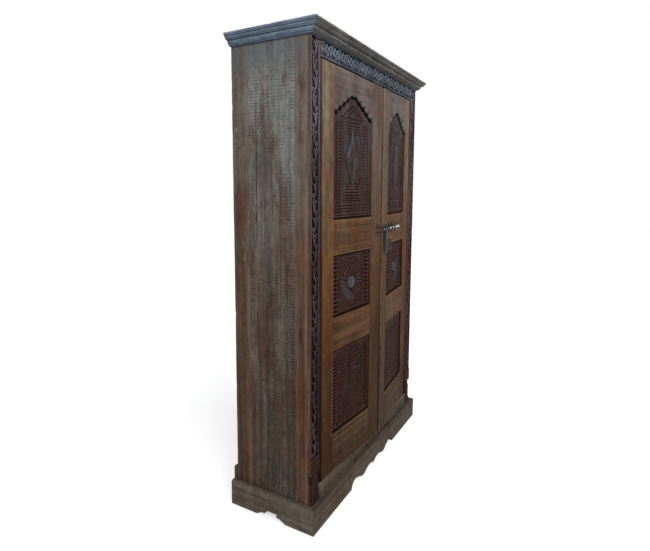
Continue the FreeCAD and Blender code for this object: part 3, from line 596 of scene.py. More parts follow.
# The threshold is a darker copy of the plinth's wood: painted shade below the doors
THRESHOLD_TONES = {**PLINTH_TONES, "dark": (40, 30, 24), "mid": (66, 52, 43), "light": (88, 72, 60)}
INNER_TONES = dict(dark=(92, 66, 42), mid=(126, 94, 62), light=(152, 120, 84), wash_and_light_low=0.1, wash_and_light_high=0.2,
                   wash=((118, 108, 94), (122, 116, 106)), shade_low=0.9, rough=0.7, dust_and_highlight=(156, 136, 108),
                   grime_and_shade=(34, 24, 17), knots=0.6)

door_wood = wood("door_wood", **DOOR_TONES)
panel_wood = wood("panel_wood", **PANEL_TONES)
side_wood = wood("side_wood", saw=1.0, paint=0.4, painted_top_light=(92, 98, 104), **SIDE_TONES)
post_wood = wood("post_wood", saw=0.25, paint=0.7, painted_top_light=(84, 90, 96), **POST_TONES)
carved_wood = wood("carved_wood", **CARVED_TONES)
frieze_wood = wood("frieze_wood", **FRIEZE_TONES)
threshold_wood = wood("threshold_wood", **THRESHOLD_TONES)
inner_wood = wood("inner_wood", saw=0.5, **INNER_TONES)
inner_wood_x = wood("inner_wood_x", axis="x", **INNER_TONES)
inner_wood_y = wood("inner_wood_y", axis="y", **INNER_TONES)
cornice_wood = wood("cornice_wood", **CORNICE_TONES)
cornice_side_wood = wood("cornice_side_wood", **CORNICE_SIDE_TONES)
plinth_wood_x = wood("plinth_wood_x", axis="x", **PLINTH_TONES)
plinth_wood_y = wood("plinth_wood_y", axis="y", **PLINTH_SIDE_TONES)
dark_iron = iron("dark_iron", (14, 15, 17), (42, 45, 50), (46, 29, 21), 0.6, 0.25)
ring_iron = iron("ring_iron", (26, 27, 30), (70, 74, 79), (54, 36, 27), 0.5, 0.35)
worn_steel = iron("worn_steel", (132, 144, 148), (206, 218, 220), (110, 104, 96), 0.3, 0.9)


# Carving

def ridge(distance, half_width):
    """Height of a rounded ridge, from 1 on its line to 0 at its half width."""
    return np.sqrt(np.maximum(1 - (distance / half_width) ** 2, 0))


def gouge(x, y, half_x, half_y):
    """Hollow of one gouge stroke: 1 at its middle, 0 outside its oval."""
    return np.maximum(1 - (x / half_x) ** 2 - (y / half_y) ** 2, 0) ** 0.6


def groove(distance, half_width):
    """A V-shaped cut: 1 on its line and 0 at its half width."""
    return np.clip(1 - np.abs(distance) / half_width, 0, 1)


FAR = 1e9
VEIN_POINTS = 14


def near_curve(x, y, line):
    """Distance to a line of many points, and how far along the line the nearest one is."""
    best = np.full(x.shape, FAR)
    share = np.zeros(x.shape)
    for index, (near_x, near_y) in enumerate(line):
        distance = np.hypot(x - near_x, y - near_y)
        closer = distance < best
        best = np.where(closer, distance, best)
        share = np.where(closer, index / (len(line) - 1), share)
    return best, share


def leaf(x, y, start, end, half_width, bend):
    """A leaf with a middle vein, from start to end: height from 0 to 1."""
    start, end = np.array(start, float), np.array(end, float)
    side = np.array([-(end - start)[1], (end - start)[0]])
    vein = [start + (end - start) * t + side * bend * math.sin(math.pi * t)
            for t in np.linspace(0, 1, VEIN_POINTS)]
    distance, share = near_curve(x, y, vein)
    width = half_width * np.sin(math.pi * np.clip(share, 0.03, 0.97) ** 0.75) + 0.4
    return ridge(distance, width) * (1 - 0.45 * groove(distance, 1.1))


# Leaves in each bend of the vine: height, root and tip in half widths and bays, half width and bend.
# The long one leans out of the bend and the shorter one lies on the stem's other side.
VINE_LEAVES = ((1.0, -0.30, -0.30, 0.90, 0.46, 0.27, 0.16), (0.9, 0.10, 0.02, -0.92, 0.44, 0.20, -0.20))
STEM_SWING = 0.50
TILE_STEP = 1.0


def vine_tile(pitch, half):
    """One repeat of a winding stem with long leaves in its bends. Rows run along the stem."""
    along = np.arange(0, pitch, TILE_STEP)
    across = np.arange(-half, half + TILE_STEP / 2, TILE_STEP)
    y, x = np.meshgrid(along, across, indexing="ij")
    bay = pitch / 2
    height = np.zeros(x.shape)
    for index in range(-1, 4):
        side = 1 if index % 2 else -1
        middle = bay * (index + 0.5)
        for level, root_x, root_y, tip_x, tip_y, width, bend in VINE_LEAVES:
            root = (root_x * side * half, middle + root_y * bay)
            tip = (tip_x * side * half, middle + tip_y * bay)
            height = np.maximum(height, level * leaf(x, y, root, tip, width * half, bend * side))
        # Curled tip in the open corner
        reach = np.hypot(x - 0.62 * side * half, y - (middle - 0.30 * bay))
        height = np.maximum(height, 0.8 * ridge(reach - 0.24 * half, 0.11 * half + 0.5))
    turn = 2 * math.pi / pitch
    stem = STEM_SWING * half * np.sin(turn * (y - 0.25 * bay))
    slope = STEM_SWING * half * turn * np.cos(turn * (y - 0.25 * bay))
    distance = np.abs(x - stem) / np.sqrt(1 + slope ** 2)
    return np.maximum(height, 0.9 * ridge(np.minimum(distance, 0.13 * half + 1), 0.10 * half + 0.9))


def from_tile(tile, along, across, pitch, half):
    """The tile's height at places along and across a run that repeats it."""
    rows, columns = tile.shape
    row = (along % pitch) / pitch * rows
    column = np.clip((across + half) / (2 * half) * (columns - 1), 0, columns - 1.001)
    r0 = np.floor(row).astype(int)
    c0 = np.floor(column).astype(int)
    fr, fc = row - r0, column - c0
    total = 0
    for dr, wr in ((0, 1 - fr), (1, fr)):
        for dc, wc in ((0, 1 - fc), (1, fc)):
            total = total + wr * wc * tile[(r0 + dr) % rows, np.minimum(c0 + dc, columns - 1)]
    return total


BLUR_CELLS = 3


def shades(depth, scale):
    """How hollow and how raised each grid point is beside its surroundings."""
    difference = depth - blur(depth, BLUR_CELLS)
    return smooth(difference / scale), smooth(-difference / scale)


CARVING_STEP = 1.6
# Pilaster: its vine's repeat, foot and side margin, and the feet of its block and its flutes
PILASTER_PITCH, VINE_FOOT, VINE_MARGIN = 130.0, 300.0, 8.5
BLOCK_FOOT, FLUTE_FOOT = 237.0, 122.0
# Frieze: its vine's repeat and start, the height of its lower band, and the middles of rope and fillet
FRIEZE_PITCH, FRIEZE_START = 70.0, 2000.0
BAND_HEIGHT, ROPE_MIDDLE, FILLET_MIDDLE = 10.5, 7.6, 2.4
# Depth beside its surroundings at which a hollow is fully dark with painted shade and dirt, on carved boards
# and on panels
CARVED_SCALE, PANEL_SCALE = 1.7, 1.0


def pilaster_depth(across, along, width, top):
    """Depth of a pilaster's face: a vine between bead rows, over a plain block and a fluted foot."""
    u, z = np.meshgrid(across, along)
    half = width / 2
    edge = np.minimum(u + half, half - u)
    wobble = 2.2 * (noise(z / 37, 5.0) - 0.5)
    vine_half = half - VINE_MARGIN
    bent = np.clip(u + wobble, -vine_half, vine_half)
    tile = vine_tile(PILASTER_PITCH, vine_half)
    vine = from_tile(tile, z - VINE_FOOT, bent, PILASTER_PITCH, vine_half)
    inside = smooth((edge - 7.6) / 1.5)
    bead = ridge(np.hypot((z % 9.0) - 4.5, edge - 5.0), 3.4)
    carved = 3.0 + 7.0 * inside * (1 - vine) + (1 - inside) * np.where(edge < 8.4, 3.2 * (1 - bead), 0)
    carved = np.where(edge < 1.6, 3.0, carved)
    in_vine = smooth((z - VINE_FOOT) / 4) * smooth((top - 3 - z) / 3)
    petals = 2.0 + 4.5 * groove(np.abs(np.abs(u) - 10.5), 3.0) + 3.0 * smooth((np.abs(u) - 19) / 5)
    petals = petals + 4.0 * smooth((z - (BLOCK_FOOT - 14 - 0.9 * np.abs(u))) / 6)
    in_foot = smooth((z - FLUTE_FOOT) / 3) * smooth((BLOCK_FOOT - 2 - z) / 3)
    depth = carved * in_vine + petals * in_foot * (1 - in_vine)
    return depth + arris(edge, 1.5) + 0.3 * fine_noise(u / 9, z / 14)


def frieze_depth(across, along, low, high):
    """Depth of the frieze's face: a vine above a twisted rope and a fillet."""
    u, z = np.meshgrid(across, along)
    rise = z - low
    tall = high - low
    middle = 0.5 * (BAND_HEIGHT + tall - 2)
    half = 0.5 * (tall - 2 - BAND_HEIGHT)
    tile = vine_tile(FRIEZE_PITCH, half)
    wobble = 7.0 * (noise(u / 27, 2.0) - 0.5) + 3.0 * (noise(u / 11, rise / 11) - 0.5)
    shift = 12.0 * (noise(u / 90, rise / 30, 6.0) - 0.5)
    bent = np.clip(rise - middle + wobble, -half, half)
    vine = from_tile(tile, u + FRIEZE_START + shift, bent, FRIEZE_PITCH, half)
    inside = smooth((half + 0.5 - np.abs(rise - middle)) / 1.2)
    rope = ridge(rise - ROPE_MIDDLE, 2.3) * (0.62 + 0.38 * np.cos(2 * math.pi * (u + 1.1 * rise) / 8.5))
    fillet = ridge(rise - FILLET_MIDDLE, 2.0)
    band = 4.6 * (1 - np.maximum(rope, fillet))
    depth = 1.0 + 6.0 * inside * (1 - vine) + (1 - inside) * np.where(rise < BAND_HEIGHT, band, 0.6)
    return depth + 0.3 * fine_noise(u / 9, z / 9)


def carved_shell(across, along, depth, thickness, edges=0.0, share=1.0):
    """A carved board, darkened with painted shade and dirt in its hollows and rubbed pale with painted
    highlights on its crests, where share is 1.
    """
    dirt, raised = shades(depth, CARVED_SCALE)
    wear = np.maximum(smooth((raised - 0.45) / 0.45), edges) * (0.15 + 0.85 * share)
    coat = (0.78 + 0.22 * share) * np.ones(depth.shape)
    return slab(across, along, depth, thickness, dirt=dirt * (1 - edges), wear=wear, coat=coat)


def place_front(shell, x, y):
    """Moves a shell drawn in widths, depths and heights so that depth 0 lies at y."""
    return shell.moved(lambda p: p + np.array([x, y, 0.0]))


# Doors: door space is width from the pivot, depth from the door's face, and height

AJAR = -math.radians(joints["left_door_hinge"]["range_deg"][0])


def door_matrix(side):
    sign = 1 if side == "left" else -1
    pivot = Vector(joints[side + "_door_hinge"]["pos_m"])
    return Matrix.Translation((pivot.x, pivot.y, 0)) @ Matrix.Rotation(-sign * AJAR, 4, "Z")


def door_points(node):
    """Points of a left door's node in door space."""
    inverse = np.array(door_matrix("left").inverted())
    points = np.array([vertex.co for vertex in nodes[node].data.vertices])
    points = (points @ inverse[:3, :3].T + inverse[:3, 3]) / MM
    points[:, 1] += HALF_THICKNESS
    return points


def door_sizes(node):
    """Lowest and highest corner of a left door's node in door space."""
    points = door_points(node)
    return points.min(0), points.max(0)


def stile_top(side):
    """Place and height of the meeting stile's upper corner on one side, 0 inner and 1 outer."""
    points = door_points("left_door_meeting_stile")
    place = door_sizes("left_door_meeting_stile")[side][0]
    near = points[np.abs(points[:, 0] - place) < 1]
    return place, near[:, 2].max()


# Length of the rails' tenons, radius of the pivots, height over which a stile's top starts to slope,
# and how far the top panel's node reaches above the arch's apex
TENON, PIN_RADIUS, HEAD_RANGE, PANEL_IN_ARCH = 45.0, 9.0, 70.0, 14.0
meeting_low, meeting_high = door_sizes("left_door_meeting_stile")
hinge_low, hinge_high = door_sizes("left_door_hinge_stile")
door_foot, door_width = meeting_low[2], meeting_high[0]
inner_top, outer_top = stile_top(0), stile_top(1)
top_slope = (outer_top[1] - inner_top[1]) / (outer_top[0] - inner_top[0])
door_head = inner_top[1] + top_slope * (HALF_THICKNESS - inner_top[0])
opening_from = door_sizes("left_door_bottom_rail")[0][0] + TENON
opening_to = door_sizes("left_door_bottom_rail")[1][0] - TENON
opening_middle = (opening_from + opening_to) / 2
rails = {name: (door_sizes("left_door_" + name)[0][2], door_sizes("left_door_" + name)[1][2])
         for name in ("bottom_rail", "lower_middle_rail", "upper_middle_rail", "top_rail")}
arch_spring = rails["top_rail"][0]
arch_apex = door_sizes("left_door_top_panel")[1][2] - PANEL_IN_ARCH
spaces = {"bottom": (rails["bottom_rail"][1], rails["lower_middle_rail"][0]),
          "middle": (rails["lower_middle_rail"][1], rails["upper_middle_rail"][0]),
          "top": (rails["upper_middle_rail"][1], arch_spring)}


def top_edge(u):
    """Height of a door's top edge, which falls a little towards the meeting side."""
    return door_head + top_slope * np.maximum(u - HALF_THICKNESS, 0)


def with_sloped_top(shell):
    """Lowers the upper end of a stile to the door's top edge."""
    def lower(points):
        share = np.clip((points[:, 2] - door_head + HEAD_RANGE) / HEAD_RANGE, 0, 1)
        lowered = points[:, 2] - share * (door_head - top_edge(points[:, 0]))
        return np.stack([points[:, 0], points[:, 1], lowered], -1)
    return shell.moved(lower)


def chamfer(u, z):
    """Depth of the soft chamfer that runs round each opening of a door."""
    depth = 0
    for foot, top in spaces.values():
        aside = np.maximum(np.maximum(opening_from - u, u - opening_to), 0)
        above = np.maximum(np.maximum(foot - z, z - top), 0)
        distance = np.maximum(aside, above)
        share = np.clip((CHAMFER_WIDTH - distance) / CHAMFER_WIDTH, 0, 1)
        depth = np.maximum(depth, CHAMFER_DEPTH * (0.55 * share + 0.45 * (1 - np.sqrt(1 - share ** 2))))
    return depth


def hinge_shadow(u, z):
    """Painted shade along the hinge side, wider towards the foot."""
    width = 2.0 + 9.0 * (door_head - z) / door_head + 2.5 * (noise(z / 60, 4.0) - 0.5)
    return 0.97 * smooth((width - u) / 2.5)


# Tone of each door member, from darker to lighter, and share of grey film on some of them
DOOR_LIGHTNESS = {"hinge_stile": 0.55, "meeting_stile": 0.15, "bottom_rail": 1.1, "lower_middle_rail": 0.6,
                  "upper_middle_rail": 0.0, "top_rail": 0.05, "middle_panel": 0.05, "bottom_panel": 0.3}
DOOR_FILM = {"meeting_stile": 0.14, "bottom_rail": 0.15, "lower_middle_rail": 0.12}

# Edges with a larger radius than this one are rubbed pale, partly as a painted highlight
WORN_RADIUS = 1.0


def door_face(u, z, radii, seed):
    """Depth of a frame member's face: worn edges, dents and the openings' chamfer."""
    wide, tall = np.meshgrid(u, z)
    depth = chamfer(wide, tall)
    cut = depth / CHAMFER_DEPTH
    nearest = np.full(wide.shape, FAR)
    for distance, radius in zip((wide - u[0], u[-1] - wide, tall - z[0], z[-1] - tall), radii):
        depth = depth + arris(distance, radius * (0.75 + 0.6 * noise(wide / 26 + seed, tall / 26, 3.0)))
        if radius > WORN_RADIUS:
            nearest = np.minimum(nearest, distance)
    depth = depth + 0.5 * noise(wide / 70, tall / 140, seed) + 0.25 * fine_noise(wide / 9, tall / 30, seed)
    dents = smooth((fine_noise(wide / 13, tall / 13, seed + 4.5) - 0.86) / 0.08)
    # The chamfer's outer part is rubbed pale with a painted highlight, its inner part takes painted shade,
    # and dents hold dirt
    rubbed = 0.7 * smooth(cut / 0.1) * smooth((0.6 - cut) / 0.4)
    wear = (np.clip(1 - nearest / 5, 0, 1) + rubbed) * noise(wide / 18, tall / 18, seed + 8)
    dirt = 0.7 * smooth((cut - 0.6) / 0.4) + 0.7 * dents
    return depth + 0.7 * dents, wear, np.maximum(dirt, hinge_shadow(wide, tall))


FRAME_STEP = 3.6
CHAMFER_TICKS = (0, 1.2, 2.6, 4.4, 6.6, 9.2)


def frame_member(u0, u1, z0, z1, radii, seed, side_dirt=0.9):
    """A stile or rail between two widths and two heights, with a worn radius for each of its edges."""
    marks = [edge + side * sign for foot, top in spaces.values() for edge, sign in ((foot, -1), (top, 1))
             for side in CHAMFER_TICKS]
    u = ticks(u0, u1, FRAME_STEP)
    z = ticks(z0, z1, FRAME_STEP * 1.6, marks)
    depth, wear, dirt = door_face(u, z, radii, seed)
    return slab(u, z, depth, DOOR_THICKNESS, side_dirt=side_dirt, wear=wear, dirt=dirt)


def turned(centre, stations, radius, count):
    """A turned peg: rings about a centre, each at a height with a share of the radius."""
    turns = np.radians(np.arange(0, 360, 360 / count))
    circle = radius * np.column_stack([np.cos(turns), np.sin(turns)])
    return loft(np.stack([np.column_stack([np.array(centre) + share * circle, np.full(count, height)])
                          for height, share in stations]))


ROUND_POINTS, ROUND_ROWS, PIN_POINTS, NAIL_POINTS = 15, 90, 18, 12


def half_round():
    """The hinge stile's round edge with a turned pivot at each end."""
    radius = HALF_THICKNESS
    turns = np.radians(np.linspace(90, 270, ROUND_POINTS))
    loop = np.stack([radius * np.cos(turns) + 0.3, radius - radius * np.sin(turns)], -1)
    sections = np.stack([np.column_stack([loop, np.full(len(loop), height)])
                         for height in np.linspace(door_foot, door_head, ROUND_ROWS)])
    pins = [turned((0, radius), ((low, 0.85), (low + 1, 1.0), (high - 1, 1.0), (high, 0.85)),
                   PIN_RADIUS, PIN_POINTS)
            for low, high in ((hinge_low[2], door_foot + 1), (door_head - 1, hinge_high[2]))]
    # Painted shade over the whole round edge
    return [loft(sections, dirt=np.full(sections.shape[:2], 0.9))] + pins


# Scalloped arch: each of its two straight slopes carries five shallow arcs
FOILS, FOIL_RISE = 5, 12.5
ARCH_HALF = (opening_to - opening_from) / 2
ARCH_RISE = arch_apex - arch_spring
ARCH_SLOPE = math.hypot(ARCH_HALF, ARCH_RISE)
FOIL_WIDTH = ARCH_SLOPE / FOILS
FOIL_RADIUS = (FOIL_WIDTH ** 2 / 4 + FOIL_RISE ** 2) / (2 * FOIL_RISE)


def arch_height(u):
    """Height of the scalloped arch above each place across a door."""
    aside = np.clip(np.abs(u - opening_middle), 0, ARCH_HALF)
    index = np.minimum(np.floor((1 - aside / ARCH_HALF) * FOILS), FOILS - 1)
    share = (index + 0.5) / FOILS
    back = FOIL_RADIUS - FOIL_RISE
    centre_a = ARCH_HALF * (1 - share) - back * ARCH_RISE / ARCH_SLOPE
    centre_z = ARCH_RISE * share - back * ARCH_HALF / ARCH_SLOPE
    return arch_spring + centre_z + np.sqrt(np.maximum(FOIL_RADIUS ** 2 - (aside - centre_a) ** 2, 0))


def above_foils(u, z):
    """Distance outwards from the nearest foil of the arch."""
    aside = ARCH_HALF - np.abs(u - opening_middle)
    along = (aside * ARCH_HALF + (z - arch_spring) * ARCH_RISE) / ARCH_SLOPE
    outward = ((z - arch_spring) * ARCH_HALF - aside * ARCH_RISE) / ARCH_SLOPE
    index = np.clip(np.floor(along / FOIL_WIDTH), 0, FOILS - 1)
    middle = (index + 0.5) * FOIL_WIDTH
    return np.hypot(along - middle, outward + FOIL_RADIUS - FOIL_RISE) - FOIL_RADIUS


# Strokes between the foils: height above a point, slope, half height and length
STROKE_RISE, STROKE_SLOPE, STROKE_HALF, STROKE_REACH = 7.5, 0.2, 4.6, 32.0


def foil_ticks(u, z):
    """Nearly level gouge strokes that run outwards from the points between the foils."""
    strokes = 0
    for index in range(1, FOILS):
        out = np.abs(u - opening_middle) - ARCH_HALF * (1 - index / FOILS)
        above = z - (arch_spring + ARCH_RISE * index / FOILS + STROKE_RISE + STROKE_SLOPE * out)
        line = smooth(1.5 * groove(above, STROKE_HALF))
        strokes = np.maximum(strokes, line * smooth((out + 4) / 4) * smooth((STROKE_REACH - out) / 9))
    return strokes


# The rail's bevel along the arch, the height above the apex from which it is full, and its grid
BEVEL_WIDTH, BEVEL_DEPTH, STEP_RISE = 14.5, 10.5, 16.0
ARCH_STEP, RAIL_ROWS = 1.6, 24
ARCH_OFFSETS = np.array([0, 0.8, 2.2, 3.8, 5.5, 7.2, 9.0, 10.8, 12.6, 14.4, 16.2,
                         18.0, 20.0, 22.2, 24.6, 27.5])


def top_rail_shell(seed):
    """The top rail: in front of the panel it is cut to the arch with a hollow bevel, above it is full."""
    step_height = arch_apex + STEP_RISE
    spread = np.linspace(0, 1, RAIL_ROWS)[1:]
    u = ticks(opening_from + JOINT_GAP, opening_to - JOINT_GAP, ARCH_STEP)
    rows, wears, dirts, coats_and_light = [], [], [], []
    for column, low in zip(u, arch_height(u)):
        top = top_edge(column) - 0.2
        bevel_top = low + ARCH_OFFSETS[-1]
        above = bevel_top + (top - 3 - bevel_top) * spread
        heights = np.concatenate([low + ARCH_OFFSETS, above, [top - 1.2, top]])
        share = np.clip(1 - above_foils(column, heights) / BEVEL_WIDTH, 0, 1)
        ticked = foil_ticks(column, heights)
        depth = BEVEL_DEPTH * share ** 1.3 + 2.6 * ticked + arris(top - heights, 2.4)
        depth = depth + 0.5 * noise(column / 70, heights / 140, seed)
        depth = depth + 0.3 * fine_noise(column / 12, heights / 12)
        back = [(DOOR_THICKNESS - 1, top), (DOOR_THICKNESS, top - 1), (DOOR_THICKNESS, step_height + 1),
                (DOOR_THICKNESS - 1, step_height), (PANEL_RECESS - 0.3, step_height),
                (PANEL_RECESS - 0.3, low + 1), (PANEL_RECESS - 1.3, low)]
        outline = np.concatenate([np.column_stack([depth, heights]), back])
        rows.append(np.column_stack([np.full(len(outline), column), outline]))
        hidden = np.zeros(len(back))
        # The bevel's outer part is rubbed pale and greyer with painted highlights; its inner part, the
        # strokes and the walls behind it take painted shade
        rubbed = 1.2 * smooth((share - 0.01) / 0.08) * smooth((0.28 - share) / 0.1)
        wears.append(np.concatenate([rubbed * noise(column / 12, heights / 12, seed + 3), hidden]))
        front_dirt = np.maximum(1.3 * smooth((share - 0.52) / 0.2), 1.2 * ticked)
        coats_and_light.append(np.concatenate([0.2 + 0.3 * smooth((share - 0.03) / 0.1), hidden]))
        dirts.append(np.concatenate([front_dirt, [0, 0, 0, 0.3, 1.3, 1.3, 1.3]]))
    return loft(np.stack(rows), wear=np.stack(wears), dirt=np.stack(dirts), coat=np.stack(coats_and_light))


# Panels: aside is the distance from the door's middle

def bar_rows(aside, z, heights, near, far, half, deep):
    """Level grooves between two distances aside, at a list of heights."""
    ends = smooth((aside - near) / 2) * smooth((far - aside) / 2)
    return deep * np.maximum.reduce([groove(z - height, half) for height in heights]) * ends


def notch_column(aside, z, middle, half, low, high, pitch, deep):
    """A column of level gouge strokes between two heights."""
    stroke = (z - low) % pitch - pitch / 2
    ends = smooth((z - low) / 3) * smooth((high - z) / 3)
    return deep * gouge(aside - middle, stroke, half, 0.42 * pitch) * ends


def box_line(aside, z, half, low, high, width):
    """A groove along a box about the door's middle."""
    upright = np.where((z > low - width) & (z < high + width), np.abs(aside - half), FAR)
    level = np.where(aside < half + width, np.minimum(np.abs(z - low), np.abs(z - high)), FAR)
    return groove(np.minimum(upright, level), width)


def field(u, z, foot, top):
    """Rise of a panel's raised field, and the distance in from its opening's nearest side."""
    edge = from_edge(u, z, opening_from, opening_to, foot, top)
    return FIELD_RISE * smooth((edge - BORDER) / 2.0), edge


# Top panel: columns of strokes, each with its distance aside, half width, foot above the opening's foot,
# top, pitch and depth, and rows of bars, each with heights, extent aside, half height and depth
TOP_COLUMNS = ((122, 11, 24, 1648, 10.6, 2.3), (97, 10.5, 20, 1652, 13.2, 2.6))
TOP_BARS = (((1306, 1294, 1283, 1267), -9, 128, 3.2, 2.8), ((1654, 1642, 1362, 1349, 1338), -9, 60, 3.8, 3.4),
            ((1630, 1618), 14, 56, 3.8, 3.4), ((1388, 1375), 16, 58, 3.8, 3.4))
TOP_FRAME_HALF, TOP_FRAME_LOW, TOP_FRAME_HIGH = 77, 1326, 1671
# Star: height of its middle, its arms up, down and aside, and the power that hollows its sides
STAR_WAIST, STAR_UP, STAR_DOWN, STAR_SIDE, STAR_POWER = 1507.0, 124.0, 138.0, 58.0, 0.84


def star_spread(u, z):
    """0 at the star's middle and 1 on its edge, whose sides are slightly hollow."""
    aside = np.abs(u - opening_middle) / STAR_SIDE
    tall = np.where(z > STAR_WAIST, (z - STAR_WAIST) / STAR_UP, (STAR_WAIST - z) / STAR_DOWN)
    return (aside ** STAR_POWER + tall ** STAR_POWER) ** (1 / STAR_POWER)


def top_panel_rise(u, z):
    """How far the top panel's carving stands above its ground."""
    foot = spaces["top"][0]
    x = u - opening_middle
    aside = np.abs(x)
    rise = field(u, z, foot, np.inf)[0] * smooth((arch_height(u) - 6 - z) / 3)
    for middle, half, above_foot, high, pitch, deep in TOP_COLUMNS:
        rise = rise - notch_column(aside, z, middle, half, foot + above_foot, high, pitch, deep)
    rise = rise - 2.6 * groove(aside - 109.5, 1.8) * (z > foot + 20) * (z < 1655)
    for inset, deep, width in ((0, 3.8, 3.4), (8, 2.2, 2.2)):
        rise = rise - deep * box_line(aside, z, TOP_FRAME_HALF - inset, TOP_FRAME_LOW + inset,
                                      TOP_FRAME_HIGH - inset, width)
    for bars in TOP_BARS:
        rise = rise - bar_rows(aside, z, *bars)
    # Beads that follow the arch inside
    line = (arch_apex - 30) - ARCH_RISE * aside / ARCH_HALF
    beads = (aside % 14.5) - 7.25
    rise = rise - 3.6 * gouge(beads, (z - line) * 0.85, 5.2, 6.4) * (z > 1668)
    rise = rise - 2.8 * gouge(beads, (z - line + 19) * 0.85, 5.0, 5.5) * (z > 1679) * (aside < 72)
    # Four-pointed star on a lowered ground with dots
    spread = star_spread(u, z)
    inner = (aside < TOP_FRAME_HALF - 13) & (z > 1396) & (z < 1609)
    rise = rise - 2.4 * smooth((spread - 1.0) / 0.05) * inner
    rise = rise + 7.0 * np.clip(1 - spread, 0, 1) ** 0.85 * (spread < 1)
    upper_right = (x > 0) & (z > STAR_WAIST) & (spread < 1.02)
    rise = rise - 3.4 * np.maximum(groove(spread - 0.70, 0.06), groove(spread - 0.95, 0.06)) * upper_right
    dots = gouge((u % 11) - 5.5, (z % 11) - 5.5, 2.6, 2.6)
    return rise - 1.2 * dots * inner * (spread > 1.12)


# Middle panel: radii of its rosette, petals between a ring round the boss and a rim
PETALS = 24
BOSS, BOSS_GROUND, RING, RING_OUTER, PETAL_TIP, RIM, ROSE = 29, 30, 37.5, 42, 83, 86.5, 90
CORNER_HALF, CORNER_RISE, CORNER_SPOKES = 100, 108, 6


def middle_panel_rise(u, z):
    """How far the middle panel's carving stands above its ground."""
    foot, top = spaces["middle"]
    x, y = u - opening_middle, z - (foot + top) / 2
    aside = np.abs(x)
    rise, edge = field(u, z, foot, top)
    radius = np.hypot(x, y)
    swing = np.abs(((np.arctan2(y, x) / (2 * math.pi) * PETALS) % 1) - 0.5) * 2
    petal = np.sqrt(np.maximum(1 - swing ** 2.2, 0)) * smooth((radius - 41) / 4)
    petal = petal * smooth((PETAL_TIP - radius) / 6)
    rosette = 0.4 + 5.6 * petal * (0.75 + 0.25 * (radius - RING_OUTER) / RING_OUTER)
    rosette = rosette + 4.2 * ridge(radius - RIM, 3.6)
    rosette = np.where(radius < RING_OUTER, 0.1 + 5.5 * ridge(radius - RING, 3.2), rosette)
    boss = np.sqrt(np.maximum(1 - (radius / BOSS) ** 2, 0))
    rosette = np.where(radius < BOSS_GROUND, 0.1 + 10.6 * boss ** 0.8, rosette)
    rise = rise - notch_column(aside, z, 125, 17, foot + 12, top - 12, 18.6, 4.2)
    rise = rise - 2.8 * groove(aside - 104, 2.4) * (edge > 5)
    beads = gouge((u % 12.3) - 6.15, np.minimum(np.abs(z - (top - 12)), np.abs(z - (foot + 12))), 5.0, 5.0)
    rise = rise - 2.8 * beads * (aside < 101)
    # Spokes that fan out from the corners of the rosette's field
    across, up = CORNER_HALF - aside, CORNER_RISE - np.abs(y)
    spokes = np.abs((np.arctan2(up, across) / (math.pi / 2) * CORNER_SPOKES) % 1 - 0.5) * 2
    corners = 2.6 * smooth(spokes * 1.6 - 0.7) * smooth((np.hypot(across, up) - 10) / 4)
    corners = corners * (across > -1) * (up > 0)
    rise = np.where(radius > ROSE + 1, rise - corners * smooth((radius - ROSE - 2) / 3), rise)
    in_rose = smooth((ROSE - radius) / 2)
    return rise * (1 - in_rose) + rosette * in_rose


# Bottom panel: pitch of its bars and half width of its inner field
BAR_PITCH, INNER_HALF = 13.5, 84


def bottom_panel_rise(u, z):
    """How far the bottom panel's carving stands above its ground."""
    foot, top = spaces["bottom"]
    low, high = foot + 46, top - 52
    x = u - opening_middle
    aside = np.abs(x)
    rise = field(u, z, foot, top)[0]
    rise = rise - notch_column(aside, z, 128, 13, foot + 26, top - 40, 15.2, 4.2)
    rise = rise - 3.0 * groove(aside - 112, 2.6) * (z > foot + 20) * (z < top - 34)
    rise = rise - 3.2 * box_line(aside, z, 98, low, high, 3.2)
    rise = rise - 1.6 * box_line(aside, z, 88, low + 10, high - 10, 2.4)
    share = (z - low) / (high - low)
    inside = (aside < INNER_HALF) & (share > 0.06) & (share < 0.94)
    rise = rise + (1.4 * ridge(x, 6) - 2.8 * groove(aside - 8, 2.6)) * inside
    # Bars left of the middle stem, and a few short ones, slanting ones and wide ones right of it
    ladder = groove((z % BAR_PITCH) - BAR_PITCH / 2, 4.0)
    slanting = groove(((z - 0.42 * aside) % BAR_PITCH) - BAR_PITCH / 2, 4.0)
    wide = groove((z % 22) - 11, 3.4)
    left, right = (x < -16) & (x > -80), (x > 14) & (x < 80)
    for deep, bars, where in ((3.6, ladder, left & ((share > 0.66) | (share < 0.36))),
                              (3.6, ladder, (x > 14) & (x < 34) & (share > 0.42) & (share < 0.66)),
                              (3.6, slanting, right & (share < 0.40)), (2.8, wide, right & (share > 0.69))):
        rise = rise - deep * bars * inside * where
    return rise


PANEL_RISE = {"top": top_panel_rise, "middle": middle_panel_rise, "bottom": bottom_panel_rise}


